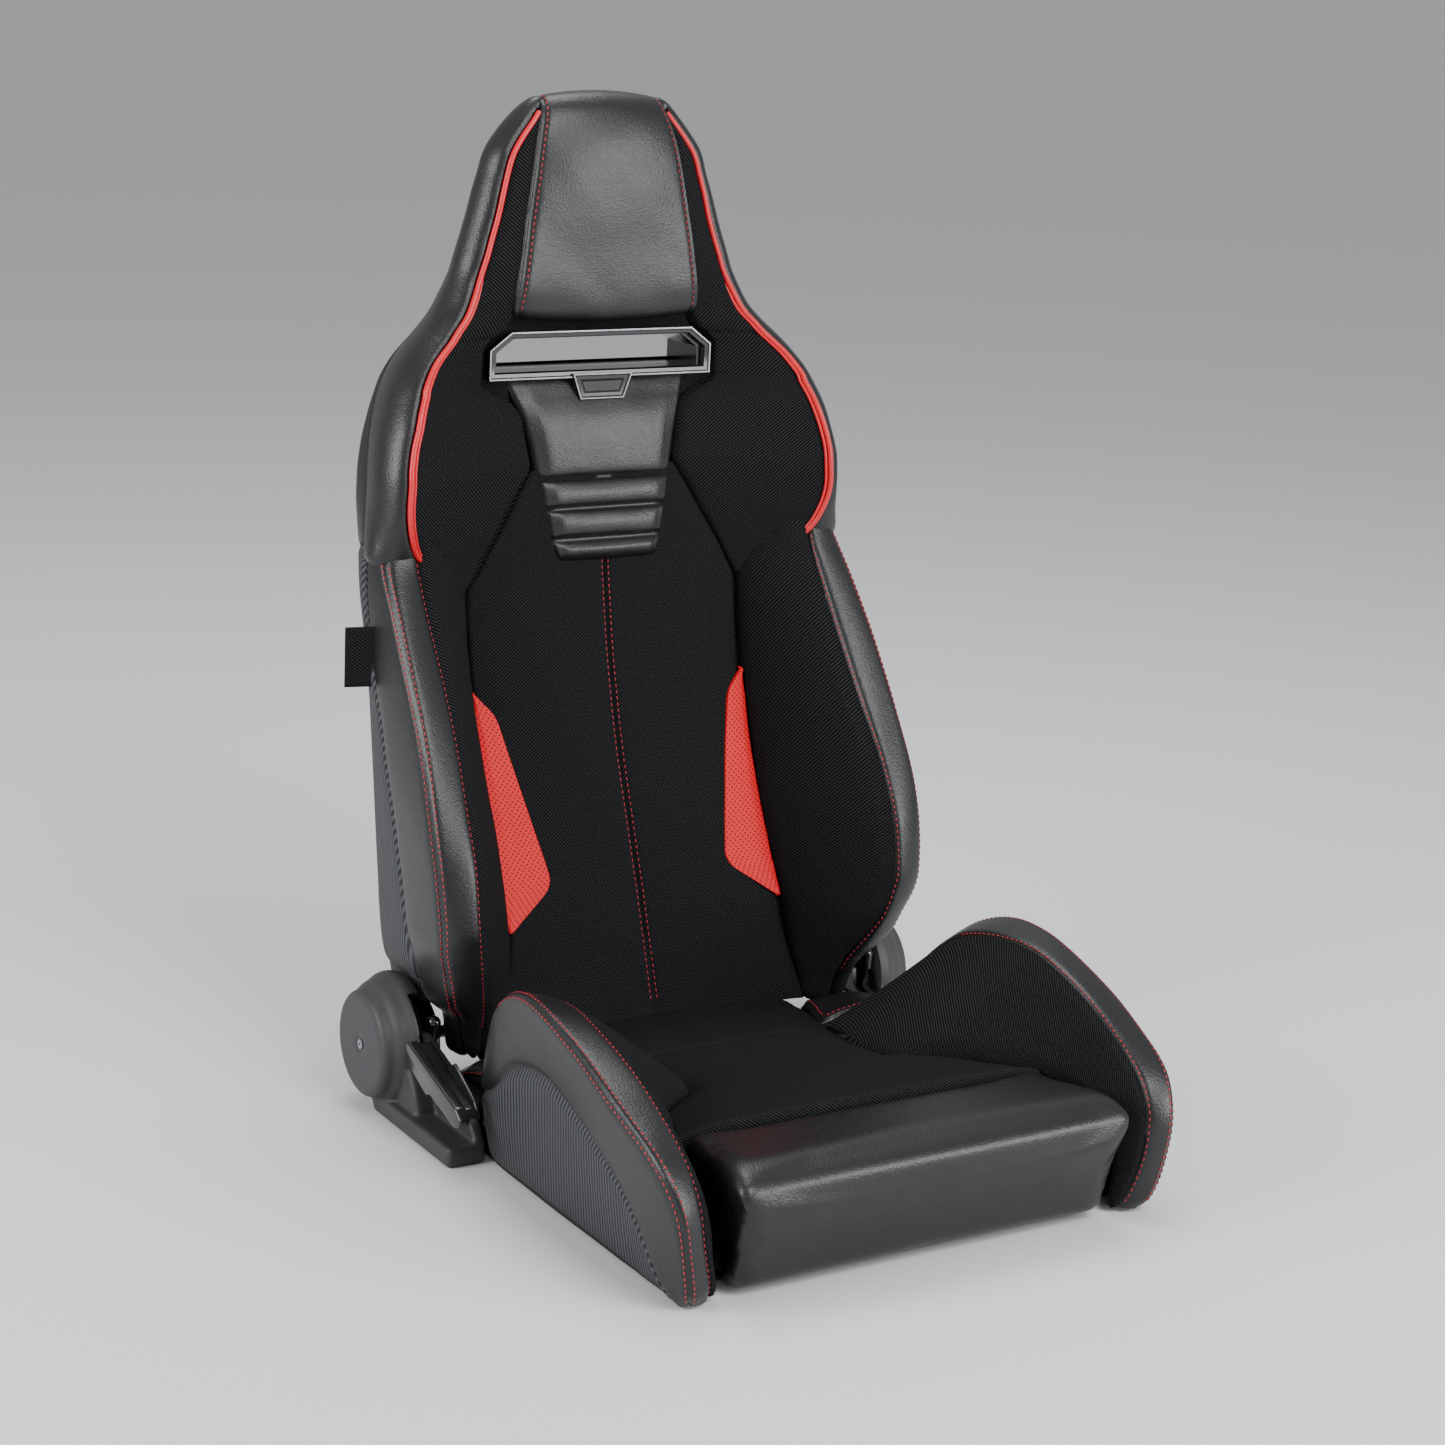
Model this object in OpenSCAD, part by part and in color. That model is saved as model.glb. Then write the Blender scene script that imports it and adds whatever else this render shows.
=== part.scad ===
// Reclining bucket-style sport seat with side bolsters, harness slot and a lever-released recliner.
// Frame: +Z up, +Y to the rear, +X to the sitter's left. Origin: centre of the four floor bolts,
// in the plane of the rails' undersides. Millimetres.

/* [Floor mounting] */
// Distance between the left and right floor bolts
bolt_spacing_x = 400; // [390:1:410]
// Distance between the front and rear floor bolts
bolt_spacing_y = 340; // [320:1:350]
// Diameter of the bolt holes in the rails
bolt_hole_d = 8.4; // [8.2:0.1:9]

/* [Seat base] */
// Height of the side rails
rail_h = 55; // [50:1:56]
// Thickness of the rail steel
rail_t = 3; // [2.5:0.5:3]
// Outside diameter of the base cross tubes
base_tube_d = 22; // [18:1:24]

/* [Recliner] */
// Height of the recline pivot above the floor
pivot_z = 68; // [66:1:70]
// Distance of the recline pivot behind the bolt centre
pivot_y = 237; // [235:1:239]
// Diameter of the round face of the recliner cover
cover_face_d = 100; // [96:1:104]
// Pitch of the locking teeth, in degrees
tooth_pitch = 5; // [4:1:6]
// Width of the lever grip
grip_w = 24; // [20:1:26]

/* [Backrest] */
// Width of the harness slot
slot_w = 224; // [210:1:226]
// Height of the harness slot
slot_h = 33; // [30:1:34]
// Diameter of the backrest frame tube
hoop_d = 20; // [18:1:21]
// Diameter of the piping
piping_d = 6; // [5:0.5:7]
// Thickness of the rear shell
shell_t = 3; // [2.5:0.5:4]

/* [Hidden] */

steel = "#2b2c2e";
zinc = "#9a9c9f";
black_plastic = "#1d1e20";
gloss_black = "#0d0d0f";
vinyl = "#242528";
fabric = "#151618";
red = "#d81f2a";

// Where things stand across the seat, from the middle outwards
rail_x = 232;
bracket_x = 235;
arm_x = 240;
plate_t = 4;
cam_x = 247;
spring_x = 251;
lever_x = 259.5;
foot_x = 246;
cover_in_x = 257;
cover_out_x = 299;
rail_in_x = 178;
rod_r = 6;
bush_r = 10;
running = 0.05;
arm_r = 38;
tooth_h = 3;
bracket_bolt_y = [90, 120, 172];
grip_screw_at = [[92, 67], [140, 81]];
arm_bolt_at = [[284, 206], [292, 240]];
pawl_pin_r = 52;
pawl_pin_a = 246;
slot_z = 700;
bezel_y = 350;

// Backrest below the shoulders, bottom to top:
// height, middle of the front, seam (x, y), inner stitch (x, y), outer stitch (x, y), side seam (x, y),
// rear edge (x, y), middle of the rear
BACK = [
    [110, 207, 161, 198, 206, 163, 243, 167, 250, 207, 249, 290, 302],
    [160, 225, 156, 217, 222, 133, 258, 145, 258, 210, 249, 303, 315],
    [210, 244, 152, 240, 230, 125, 266, 133, 262, 220, 248, 313, 327],
    [260, 263, 151, 264, 230, 135, 268, 140, 262, 236, 248, 321, 340],
    [310, 282, 153, 286, 229, 160, 266, 161, 262, 255, 248, 327, 352],
    [365, 299, 154, 307, 224, 195, 264, 189, 262, 277, 248, 335, 365],
    [420, 313, 155, 321, 221, 233, 262, 225, 262, 302, 246, 347, 377],
    [475, 324, 155, 329, 221, 272, 260, 265, 260, 324, 244, 364, 388],
    [524, 330, 155, 333, 222, 297, 257, 307, 254, 338, 240, 383, 396]
];

// Shoulders and headrest, bottom to top:
// height, middle of the front, piping (x, y), widest point (x, y), rear edge (x, y), middle of the rear
UPPER = [
    [526, 330, 223, 297, 240, 325, 240, 383, 396],
    [567, 336, 234, 286, 245, 320, 240, 392, 402],
    [606, 340, 232, 289, 244, 325, 236, 396, 406],
    [643, 343, 222, 297, 234, 332, 226, 400, 409],
    [679, 346, 208, 311, 219, 343, 211, 403, 411],
    [710, 347, 182, 327, 192, 356, 186, 404, 412],
    [740, 346, 153, 339, 163, 366, 158, 405, 413],
    [776, 343, 135, 349, 146, 372, 138, 405, 413],
    [813, 342, 122, 352, 134, 374, 125, 405, 412],
    [852, 341, 111, 354, 122, 376, 113, 404, 411],
    [889, 343, 100, 357, 110, 378, 101, 402, 408],
    [921, 350, 77, 361, 84, 378, 78, 397, 402],
    [943, 364, 40, 367, 46, 376, 42, 388, 392]
];

// Side bolsters of the cushion, rear to front:
// y, root (x, z), inner stitch (x, z), outer stitch (x, z), underside z
SIDE = [
    [80, 122, 77, 200, 84, 240, 88, 10],
    [62, 118, 80, 205, 112, 248, 125, 2],
    [40, 113, 83, 212, 145, 257, 160, 2],
    [10, 107, 87, 219, 175, 266, 190, 2],
    [-24, 104, 91, 222, 185, 270, 204, 2],
    [-60, 113, 96, 230, 192, 273, 208, 2],
    [-99, 160, 101, 236, 193, 274, 202, 2],
    [-142, 170, 106, 236, 184, 275, 190, 2],
    [-180, 194, 108, 236, 171, 274, 176, 2],
    [-212, 209, 100, 236, 156, 272, 160, 2],
    [-242, 210, 90, 236, 139, 269, 143, 2],
    [-270, 211, 78, 236, 120, 264, 122, 4],
    [-290, 214, 66, 232, 92, 255, 90, 24]
];

// Centre line of the frame tube, bottom to top: height, x, y
HOOP = [
    [165, 226, 282], [230, 226, 295], [290, 226, 306], [360, 224, 322], [430, 222, 340], [490, 218, 354],
    [550, 214, 366], [610, 206, 376], [660, 186, 382], [695, 158, 384], [730, 138, 385], [780, 122, 386],
    [830, 108, 386], [870, 92, 385], [896, 62, 384], [904, 0, 383]
];

foam_t = 28;

// ---------- Functions ----------

// Value of column c of a table at height t, straight between its rows
function at(table, t, c) =
    let (last = len(table) - 1)
    let (up = table[0][0] < table[last][0])
    let (hit = [for (i = [0:last - 1])
        if (up ? (t >= table[i][0] && t <= table[i + 1][0])
               : (t <= table[i][0] && t >= table[i + 1][0])) i])
    let (i = len(hit) > 0 ? hit[0] : ((up ? t < table[0][0] : t > table[0][0]) ? 0 : last - 1))
    let (s = (t - table[i][0]) / (table[i + 1][0] - table[i][0]))
    table[i][c] + s * (table[i + 1][c] - table[i][c]);

function unit(v) = v / norm(v);

// Rings of points round a path, square to it
function tube_rings(path, r, sides) = [
    for (i = [0:len(path) - 1])
        let (t = unit(path[min(i + 1, len(path) - 1)] - path[max(i - 1, 0)]))
        let (side = abs(t[1]) < 0.9 ? unit(cross([0, 1, 0], t)) : unit(cross([1, 0, 0], t)))
        let (up = cross(t, side))
        [for (k = [0:sides - 1]) path[i] + r * (cos(360 * k / sides) * side + sin(360 * k / sides) * up)]
];

// Points of a smooth curve through the given ones
function smooth(pts, steps) = [
    for (i = [0:len(pts) - 2])
        for (k = [0:steps - 1])
            let (s = k / steps)
            let (a = pts[max(i - 1, 0)])
            let (b = pts[i])
            let (c = pts[i + 1])
            let (d = pts[min(i + 2, len(pts) - 1)])
            0.5 * (2 * b + (c - a) * s + (2 * a - 5 * b + 4 * c - d) * s * s
                + (3 * b - a - 3 * c + d) * s * s * s),
    pts[len(pts) - 1]
];

// ---------- Shape helpers ----------

// Closed solid through rings of equal length. A hollow ring runs along the outside and back along the inside
module loft(rings, hollow = false) {
    n = len(rings[0]);
    m = len(rings);
    sides = [for (i = [0:m - 2]) for (j = [0:n - 1])
        let (k = (j + 1) % n)
        each [[i * n + j, (i + 1) * n + j, (i + 1) * n + k], [i * n + j, (i + 1) * n + k, i * n + k]]];
    last = (m - 1) * n;
    first_cap = hollow
        ? [for (j = [0:n / 2 - 2]) each [[j, j + 1, n - 2 - j], [j, n - 2 - j, n - 1 - j]]]
        : [[for (j = [0:n - 1]) j]];
    last_cap = hollow
        ? [for (j = [0:n / 2 - 2])
            each [[last + j + 1, last + j, last + n - 2 - j], [last + n - 2 - j, last + j, last + n - 1 - j]]]
        : [[for (j = [n - 1:-1:0]) last + j]];
    polyhedron(
        points = [for (ring = rings) each ring], faces = concat(sides, first_cap, last_cap), convexity = 6);
}

module tube_along(path, r, sides = 10) loft(tube_rings(path, r, sides));

// Draws the left side part, and its mirror image on the right
module both_sides() {
    children();
    mirror([1, 0, 0]) children();
}

// A profile in Y and Z, given as [y, z], made into a plate from x to x + t
module yz_plate(x, t) translate([x, 0, 0]) rotate([90, 0, 90]) linear_extrude(height = t) children();

// A cylinder along X that starts at x
module x_rod(x, y, z, r, h) translate([x, y, z]) rotate([0, 90, 0]) cylinder(r = r, h = h, $fn = 64);

// ---------- Seat base ----------

// Pressed L-section rail with two floor-bolt holes
module rail() {
    color(steel) difference() {
        union() {
            yz_plate(rail_x, rail_t)
                polygon([[-255, 0], [262, 0], [262, 30], [245, rail_h], [-225, rail_h], [-255, 30]]);
            translate([rail_in_x, -235, 0]) cube([rail_x - rail_in_x, 470, rail_t]);
        }
        for (s = [-1, 1]) translate([bolt_spacing_x / 2, s * bolt_spacing_y / 2, -1])
            cylinder(d = bolt_hole_d, h = rail_t + 2, $fn = 48);
        for (y = bracket_bolt_y) x_rod(rail_x - 1, y, 32, 4.2, rail_t + 2);
    }
}

module base_rail_left() rail();
module base_rail_right() mirror([1, 0, 0]) rail();

module front_cross_tube() color(steel) difference() {
    x_rod(-rail_x, -200, 32, base_tube_d / 2, 2 * rail_x);
    x_rod(-rail_x - 1, -200, 32, base_tube_d / 2 - 2, 2 * rail_x + 2);
}

module rear_cross_tube() color(steel) difference() {
    x_rod(-rail_x, 150, 26, base_tube_d / 2, 2 * rail_x);
    x_rod(-rail_x - 1, 150, 26, base_tube_d / 2 - 2, 2 * rail_x + 2);
}

// Dished sheet that carries the cushion foam, standing on the two cross tubes
module seat_pan() color(steel) yz_plate(-226, 452)
    polygon([
        [-238, 44], [-205, 44], [-150, 41], [0, 36.6], [165, 37.6], [172, 42],
        [172, 44], [164, 39.2], [0, 38.2], [-150, 42.6], [-205, 45.6], [-238, 45.6]
    ]);

module weld_nuts() color(zinc) for (sx = [-1, 1]) for (sy = [-1, 1])
    translate([sx * bolt_spacing_x / 2, sy * bolt_spacing_y / 2, rail_t]) difference() {
        cylinder(r = 7.5, h = 6.5, $fn = 6);
        translate([0, 0, -1]) cylinder(d = bolt_hole_d, h = 9, $fn = 48);
    }

// ---------- Cushion ----------

function cushion_z(y) = 64 + 0.126 * (194 - y);

// Ends in front of the backrest's lower edge, which swings past it
module cushion_foam() color(fabric) loft([
    for (y = [179, 130, 80, 62, 40, 10, -24, -60, -99, -142, -174])
        let (x = y > 80 ? at([[130, 138], [188, 146]], y, 1) : at(SIDE, y, 1) - 0.5)
        let (top = cushion_z(y))
        [[-x, y, 47], [-x, y, top], [0, y, top], [x, y, top], [x, y, 47]]
]);

// Padded roll under the knees, which hangs down in front of the pan and the rails:
// y, underside, top, half width
NOSE = [
    [-176, 47, 110, 190], [-239, 47, 115.6, 200], [-240.5, 2, 115.7, 200.5], [-262, 2, 118, 203],
    [-274, 8, 118, 205], [-290, 60, 114, 207], [-298, 80, 110, 207], [-301, 88, 104, 206]
];

module nose_pad() color(vinyl) loft([
    for (r = NOSE)
        [[-r[3] + 10, r[0], r[1]], [-r[3], r[0], r[2] - 8], [-r[3] + 8, r[0], r[2]], [0, r[0], r[2]],
            [r[3] - 8, r[0], r[2]], [r[3], r[0], r[2] - 8], [r[3] - 10, r[0], r[1]]]
]);

// Side bolster that steps over the rail
module cushion_bolster() color(vinyl) loft([
    for (r = SIDE)
        [[r[1], r[0], 58], [r[1], r[0], r[2]], [r[3], r[0], r[4]], [(r[3] + r[5]) / 2, r[0], max(r[4], r[6]) + 3],
            [r[5], r[0], r[6]], [r[5] - 3, r[0], r[6] * 0.7 + 12],
            [244, r[0], r[7]], [236, r[0], r[7]], [236, r[0], 58]]
]);

module cushion_bolster_left() cushion_bolster();
module cushion_bolster_right() mirror([1, 0, 0]) cushion_bolster();

// Low padded corner behind each bolster, under the backrest: y, inner x, top at the inner edge, middle and outer edge
GUSSET = [[80.5, 123, 77, 83, 85], [105, 132, 77, 81, 76], [128, 139.5, 77, 80, 70], [148, 143, 74, 74, 64]];

module cushion_gusset() color(vinyl) loft([
    for (r = GUSSET) [[r[1], r[0], 47], [r[1], r[0], r[2]], [182, r[0], r[3]], [228, r[0], r[4]], [228, r[0], 47]]
]);

module cushion_gusset_left() cushion_gusset();
module cushion_gusset_right() mirror([1, 0, 0]) cushion_gusset();

// ---------- Recliner, parts that stay with the base ----------

module at_pivot(x) translate([x, pivot_y, pivot_z]) rotate([90, 0, 90]) children();

module at_pawl_pin(x) at_pivot(x)
    translate([pawl_pin_r * cos(pawl_pin_a), pawl_pin_r * sin(pawl_pin_a), 0]) children();

// Bracket bolted to the rail, which carries the pivot
module bracket() color(steel) difference() {
    union() {
        at_pivot(bracket_x) cylinder(r = 43, h = plate_t, $fn = 96);
        yz_plate(bracket_x, plate_t)
            polygon([[81, 4], [250, 4], [262, 40], [196, 62], [120, 52], [88, 44], [81, 30]]);
    }
    at_pivot(bracket_x - 1) cylinder(r = bush_r, h = plate_t + 2, $fn = 64);
    for (y = bracket_bolt_y) x_rod(bracket_x - 1, y, 32, 4.2, plate_t + 2);
    at_pawl_pin(bracket_x - 1) cylinder(r = 3, h = plate_t + 2, $fn = 32);
}

module recliner_bracket_left() bracket();
module recliner_bracket_right() mirror([1, 0, 0]) bracket();

module recliner_bolts() color(zinc) both_sides() for (y = bracket_bolt_y) {
    difference() {
        x_rod(bracket_x + plate_t, y, 32, 7.5, 2);
        x_rod(bracket_x + plate_t - 1, y, 32, 3, 4);
    }
    x_rod(rail_x - 7, y, 32, 4, rail_t + plate_t + 7);
}

// Flanged bush that the backrest arm turns on
module bush() color(zinc) difference() {
    union() {
        at_pivot(bracket_x) cylinder(r = bush_r, h = 11, $fn = 64);
        at_pivot(bracket_x + 9.5) cylinder(r = 15, h = 1.8, $fn = 64);
    }
    at_pivot(bracket_x - 1) cylinder(r = rod_r + running, h = 14, $fn = 64);
}

module pivot_bush_left() bush();
module pivot_bush_right() mirror([1, 0, 0]) bush();

// Flat spiral spring that tips the backrest forward
module spiral_spring() color(steel) at_pivot(spring_x) {
    turns = 3;
    inner = 14;
    grow = 4.6;
    wall = 1.6;
    start = 80;
    coil = [for (a = [0:12:360 * turns]) (inner + grow * a / 360) * [cos(a + start), sin(a + start)]];
    outside = [for (a = [360 * turns:-12:0]) (inner + wall + grow * a / 360) * [cos(a + start), sin(a + start)]];
    linear_extrude(height = 6) polygon(concat(coil, outside));
}

module recline_spring_left() spiral_spring();
module recline_spring_right() mirror([1, 0, 0]) spiral_spring();

module pawl_pins() color(zinc) both_sides() at_pawl_pin(bracket_x) cylinder(r = 3, h = 11, $fn = 32);

// Outline of the cover's foot in Y and Z
module foot_outline()
    polygon([[150, 0], [230, 0], [236, 10], [250, 60], [190, 66], [174, 60], [160, 40], [152, 20]]);

// Moulded cover: stepped round boss over the pivot, running down into a flat foot
module cover(lever_gap) {
    face_r = cover_face_d / 2;
    color(black_plastic) difference() {
        union() {
            at_pivot(cover_in_x) rotate_extrude($fn = 128)
                polygon([[0, 0], [66, 0], [66, 8], [62, 14], [59, 22], [face_r + 3, 27], [face_r + 2, 33],
                    [face_r - 1, 38], [face_r - 5, 41], [face_r - 12, 42], [0, 42]]);
            yz_plate(foot_x, 32) foot_outline();
            yz_plate(foot_x, 11) polygon([
                [74, 0], [230, 0], [236, 10], [250, 60], [190, 66], [150, 62], [112, 50], [84, 36], [74, 20]]);
            yz_plate(foot_x, 39) polygon([[74, 0], [230, 0], [236, 10], [236, 20], [74, 20]]);
        }
        at_pivot(cover_in_x - 1) cylinder(r = 62, h = 9, $fn = 96);
        at_pivot(cover_in_x) cylinder(r = face_r - 2, h = 38.5, $fn = 96);
        at_pivot(245) cylinder(r = 62, h = 13, $fn = 96);
        at_pivot(cover_out_x - 2) cylinder(r = 5, h = 4, $fn = 48);
        at_pivot(cover_out_x - 6) cylinder(r = 2.6, h = 8, $fn = 32);
        yz_plate(foot_x - 1, 37) polygon([[78, 3], [226, 3], [232, 17], [78, 17]]);
        yz_plate(foot_x - 1, 30) polygon([[156, 16], [230, 16], [246, 56], [192, 62], [177, 56], [164, 38]]);
        yz_plate(foot_x - 1, 9)
            polygon([[90, 16], [230, 16], [246, 56], [192, 62], [150, 58], [114, 46], [90, 34]]);
        if (lever_gap) at_pivot(cover_in_x - 1) linear_extrude(height = 9.5)
            polygon(concat([[0, 0]], [for (a = [122:28:178]) 90 * [cos(a), sin(a)]]));
    }
}

module recliner_cover_right() mirror([1, 0, 0]) cover(true);
module recliner_cover_left() cover(false);

module cover_screws() color(zinc) both_sides() at_pivot(cover_out_x - 9) {
    cylinder(r = 2.4, h = 7, $fn = 32);
    translate([0, 0, 7]) difference() {
        cylinder(r = 4.6, h = 1.8, $fn = 48);
        translate([0, 0, 0.6]) cylinder(r = 2, h = 2, $fn = 6);
    }
}

// ---------- Lock and lever ----------

// Toothed pawl, held just clear of the sector's teeth
module pawl() color(zinc) difference() {
    union() {
        at_pivot(arm_x) linear_extrude(height = plate_t) polygon(concat(
            [for (a = [212:tooth_pitch / 2:236])
                let (tooth = floor((a - 212) / (tooth_pitch / 2)) % 2 == 0)
                (arm_r + tooth_h + (tooth ? 0.8 : 3.4)) * [cos(a), sin(a)]],
            [for (a = [240:-4:212]) 53 * [cos(a), sin(a)]]));
        at_pawl_pin(arm_x) cylinder(r = 7.2, h = plate_t, $fn = 48);
    }
    at_pawl_pin(arm_x - 1) cylinder(r = 3 + running, h = plate_t + 2, $fn = 32);
}

module pawl_left() pawl();
module pawl_right() mirror([1, 0, 0]) pawl();

// The lever is on the sitter's right
module lever_side() mirror([1, 0, 0]) children();

module lever_arm() color(steel) lever_side() difference() {
    union() {
        at_pivot(lever_x) cylinder(r = 13, h = plate_t, $fn = 64);
        yz_plate(lever_x, plate_t) polygon([
            [236, 55.5], [239, 80.5], [200, 92], [168, 96], [150, 90],
            [66, 64], [66, 54], [150, 78], [170, 80], [196, 74]]);
    }
    at_pivot(lever_x - 1) cylinder(r = rod_r, h = plate_t + 2, $fn = 64);
    for (p = grip_screw_at) x_rod(lever_x - 1, p[0], p[1], 2.2, plate_t + 2);
}

// Paddle grip with a thick root and a thin tip
module lever_grip() color(black_plastic) lever_side() difference() {
    intersection() {
        yz_plate(lever_x + plate_t, grip_w) polygon([
            [166, 92], [160, 95], [60, 64], [50, 56], [52, 49],
            [62, 46], [112, 60], [120, 57], [148, 68], [162, 80]]);
        translate([lever_x + plate_t, 0, 0]) linear_extrude(height = 200)
            polygon([[0, 40], [grip_w - 8, 40], [grip_w - 1, 50], [grip_w, 120], [grip_w - 4, 170], [0, 170]]);
    }
    for (p = grip_screw_at) x_rod(lever_x, p[0], p[1], 2.2, 14);
}

module grip_screws() color(zinc) lever_side() for (p = grip_screw_at) {
    x_rod(lever_x, p[0], p[1], 2.2, 14);
    x_rod(lever_x - 1.6, p[0], p[1], 4, 1.6);
}

// Rod that works both locks together
module sync_rod() color(zinc) x_rod(-(lever_x + plate_t + 2), pivot_y, pivot_z, rod_r, lever_x + plate_t + 2 + 253);

module release_cam() color(zinc) difference() {
    at_pivot(cam_x) linear_extrude(height = 3) polygon(concat(
        [for (a = [-110:15:205]) 11 * [cos(a), sin(a)]],
        [32 * [cos(218), sin(218)], 34 * [cos(224), sin(224)], 32 * [cos(230), sin(230)]]));
    at_pivot(cam_x - 1) cylinder(r = rod_r, h = 5, $fn = 64);
}

module release_cam_left() release_cam();
module release_cam_right() mirror([1, 0, 0]) release_cam();

// ---------- Backrest frame ----------

// Arm with the toothed sector, turning on the bush
module recliner_arm() color(steel) difference() {
    union() {
        at_pivot(arm_x) linear_extrude(height = plate_t) polygon(concat(
            [for (a = [190:tooth_pitch / 2:300])
                let (root = floor((a - 190) / (tooth_pitch / 2)) % 2 == 0)
                (arm_r + (root ? 0 : tooth_h)) * [cos(a), sin(a)]],
            [for (a = [310:10:550]) arm_r * [cos(a), sin(a)]]));
        yz_plate(arm_x, plate_t) polygon([
            [188, 86], [268, 80], [280, 120], [299, 190], [304, 250],
            [282, 258], [262, 210], [238, 128], [226, 108], [190, 100]]);
        translate([arm_x + 6, 188, 84]) cylinder(r = 7, h = 14, $fn = 48);
        translate([arm_x + 6, 188, 98]) sphere(r = 7, $fn = 48);
    }
    at_pivot(arm_x - 1) cylinder(r = bush_r + running, h = plate_t + 2, $fn = 64);
    for (p = arm_bolt_at) x_rod(arm_x - 1, p[0], p[1], 5, plate_t + 2);
}

module recliner_arm_left() recliner_arm();
module recliner_arm_right() mirror([1, 0, 0]) recliner_arm();

module arm_bolts() color(zinc) both_sides() for (p = arm_bolt_at) {
    difference() {
        x_rod(arm_x + plate_t, p[0], p[1], 8, 1.6);
        x_rod(arm_x + plate_t + 0.6, p[0], p[1], 2.6, 2);
    }
    x_rod(arm_x - 4, p[0], p[1], 5, plate_t + 4);
}

// Pressed side plate of the backrest, inboard of the arm
module back_side_plate() color(steel) difference() {
    yz_plate(arm_x - 4, 4) polygon([
        [250, 150], [290, 150], [304, 230], [316, 320], [334, 400], [352, 470],
        [366, 515], [350, 515], [334, 470], [318, 400], [290, 320], [262, 230]]);
    for (p = arm_bolt_at) x_rod(arm_x - 5, p[0], p[1], 5, 6);
}

module back_side_plate_left() back_side_plate();
module back_side_plate_right() mirror([1, 0, 0]) back_side_plate();

// Bent tube that runs up both sides and over the head
hoop_path = smooth(concat(
    [for (h = HOOP) [h[1], h[2], h[0]]],
    [for (i = [len(HOOP) - 2:-1:0]) [-HOOP[i][1], HOOP[i][2], HOOP[i][0]]]), 2);

module back_hoop() color(steel) tube_along(hoop_path, hoop_d / 2, 10);

// Straight tubes welded across the hoop: at the loins, under the slot and over the slot
module back_cross_tubes() color(steel) {
    x_rod(-212, 290, 190, 7, 424);
    x_rod(-175, 384, 652, 7, 350);
    x_rod(-120, 387, 745, 7, 240);
}

// Row of zigzag wires that the back foam rests on
module back_springs() color(zinc) for (z = [250, 310, 370, 430, 490])
    let (half = at(HOOP, z, 1) - 13)
    let (mid = at(BACK, z, 1) + foam_t + 13)
    let (end = at(HOOP, z, 2) - 1)
    tube_along([
        for (k = [0:24])
            let (x = half * (k / 12 - 1))
            [x, mid + (end - mid) * pow(x / half, 2), z + 10 * [0, 1, 0, -1][k % 4]]
    ], 1.9, 6);

// ---------- Backrest padding ----------

function foam_rear(z) = at(BACK, z, 1) + foam_t;

module back_foam() color(fabric) loft([
    for (z = [66, 88, 110, 160, 210, 260, 310, 365, 420, 475, 524])
        let (x = z < 110 ? 160 : at(BACK, z, 2) - 0.5)
        let (mid = at(BACK, z, 1))
        let (edge = at(BACK, z, 3))
        let (rear = z < 80 ? pivot_y - 11 : foam_rear(z))
        [[-x, edge, z], [0, mid, z], [x, edge, z], [x, rear, z], [-x, rear, z]]
]);

module chest_foam() color(fabric) loft([
    for (z = [526, 567, 606, 643, 653, 656, 674])
        let (y = z < 655 ? at(UPPER, z, 1) + 3 : bezel_y + 4.3)
        let (rear = at(UPPER, z, 1) + 29)
        [[-126, y - 5, z], [-88, y, z], [88, y, z], [126, y - 5, z], [126, rear, z], [-126, rear, z]]
]);

// Channelled trapezoid below the slot: height, half width, front
PAD = [
    [502, 50, 327], [512, 56, 324.5], [550, 64, 327], [552, 64.5, 328.5], [554, 65, 327.5], [580, 70, 332],
    [582, 70.5, 333.5], [584, 71, 332.5], [615, 78, 339], [650, 90, 343], [672, 96, 345]
];

module channel_pad() color(vinyl) difference() {
    loft([
        for (r = PAD)
            let (rear = (r[0] < 526 ? at(BACK, r[0], 1) : at(UPPER, r[0], 1) + 3) - 1)
            let (front = min(r[2], rear - 0.5))
            [[-r[1], rear, r[0]], [-r[1] + 3, front, r[0]], [r[1] - 3, front, r[0]], [r[1], rear, r[0]]]
    ]);
    translate([-34, 300, 655]) cube([68, 80, 40]);
}

// Coloured panel beside the loins: height, inner edge; its outer edge is the seam with the bolster
LUMBAR = [
    [168, 150, 155], [190, 112, 152], [207, 101, 151], [220, 104, 151],
    [280, 122, 151], [340, 138, 153], [360, 143, 153.5], [378, 152, 153.8]
];

module lumbar_insert() color(red) loft([
    for (r = LUMBAR)
        let (y0 = at(BACK, r[0], 1))
        let (y1 = at(BACK, r[0], 3))
        let (inner = y0 + (y1 - y0) * r[1] / at(BACK, r[0], 2))
        [[r[1], inner - 3.4, r[0]], [r[2], y1 - 3.4, r[0]], [r[2], y1 - 1.2, r[0]], [r[1], inner - 1.2, r[0]]]
]);

module lumbar_insert_left() lumbar_insert();
module lumbar_insert_right() mirror([1, 0, 0]) lumbar_insert();

// Narrow foot of the back bolster, which hangs between the recliner brackets
BOLSTER_FOOT = [[82, 0, 166, 194, 196, 178, 220, 181, 229, 205], [108.5, 0, 161.5, 198, 205, 164, 226, 170, 232, 205]];

module back_bolster() color(vinyl) loft([
    for (r = concat(BOLSTER_FOOT, BACK))
        [[r[2], r[3], r[0]], [r[4], r[5], r[0]], [(r[4] + r[6]) / 2, min(r[5], r[7]) - 4, r[0]],
            [r[6], r[7], r[0]], [r[8], r[9], r[0]], [228, r[9] + 8, r[0]], [r[2], foam_rear(r[0]), r[0]]]
]);

module back_bolster_left() back_bolster();
module back_bolster_right() mirror([1, 0, 0]) back_bolster();

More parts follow.
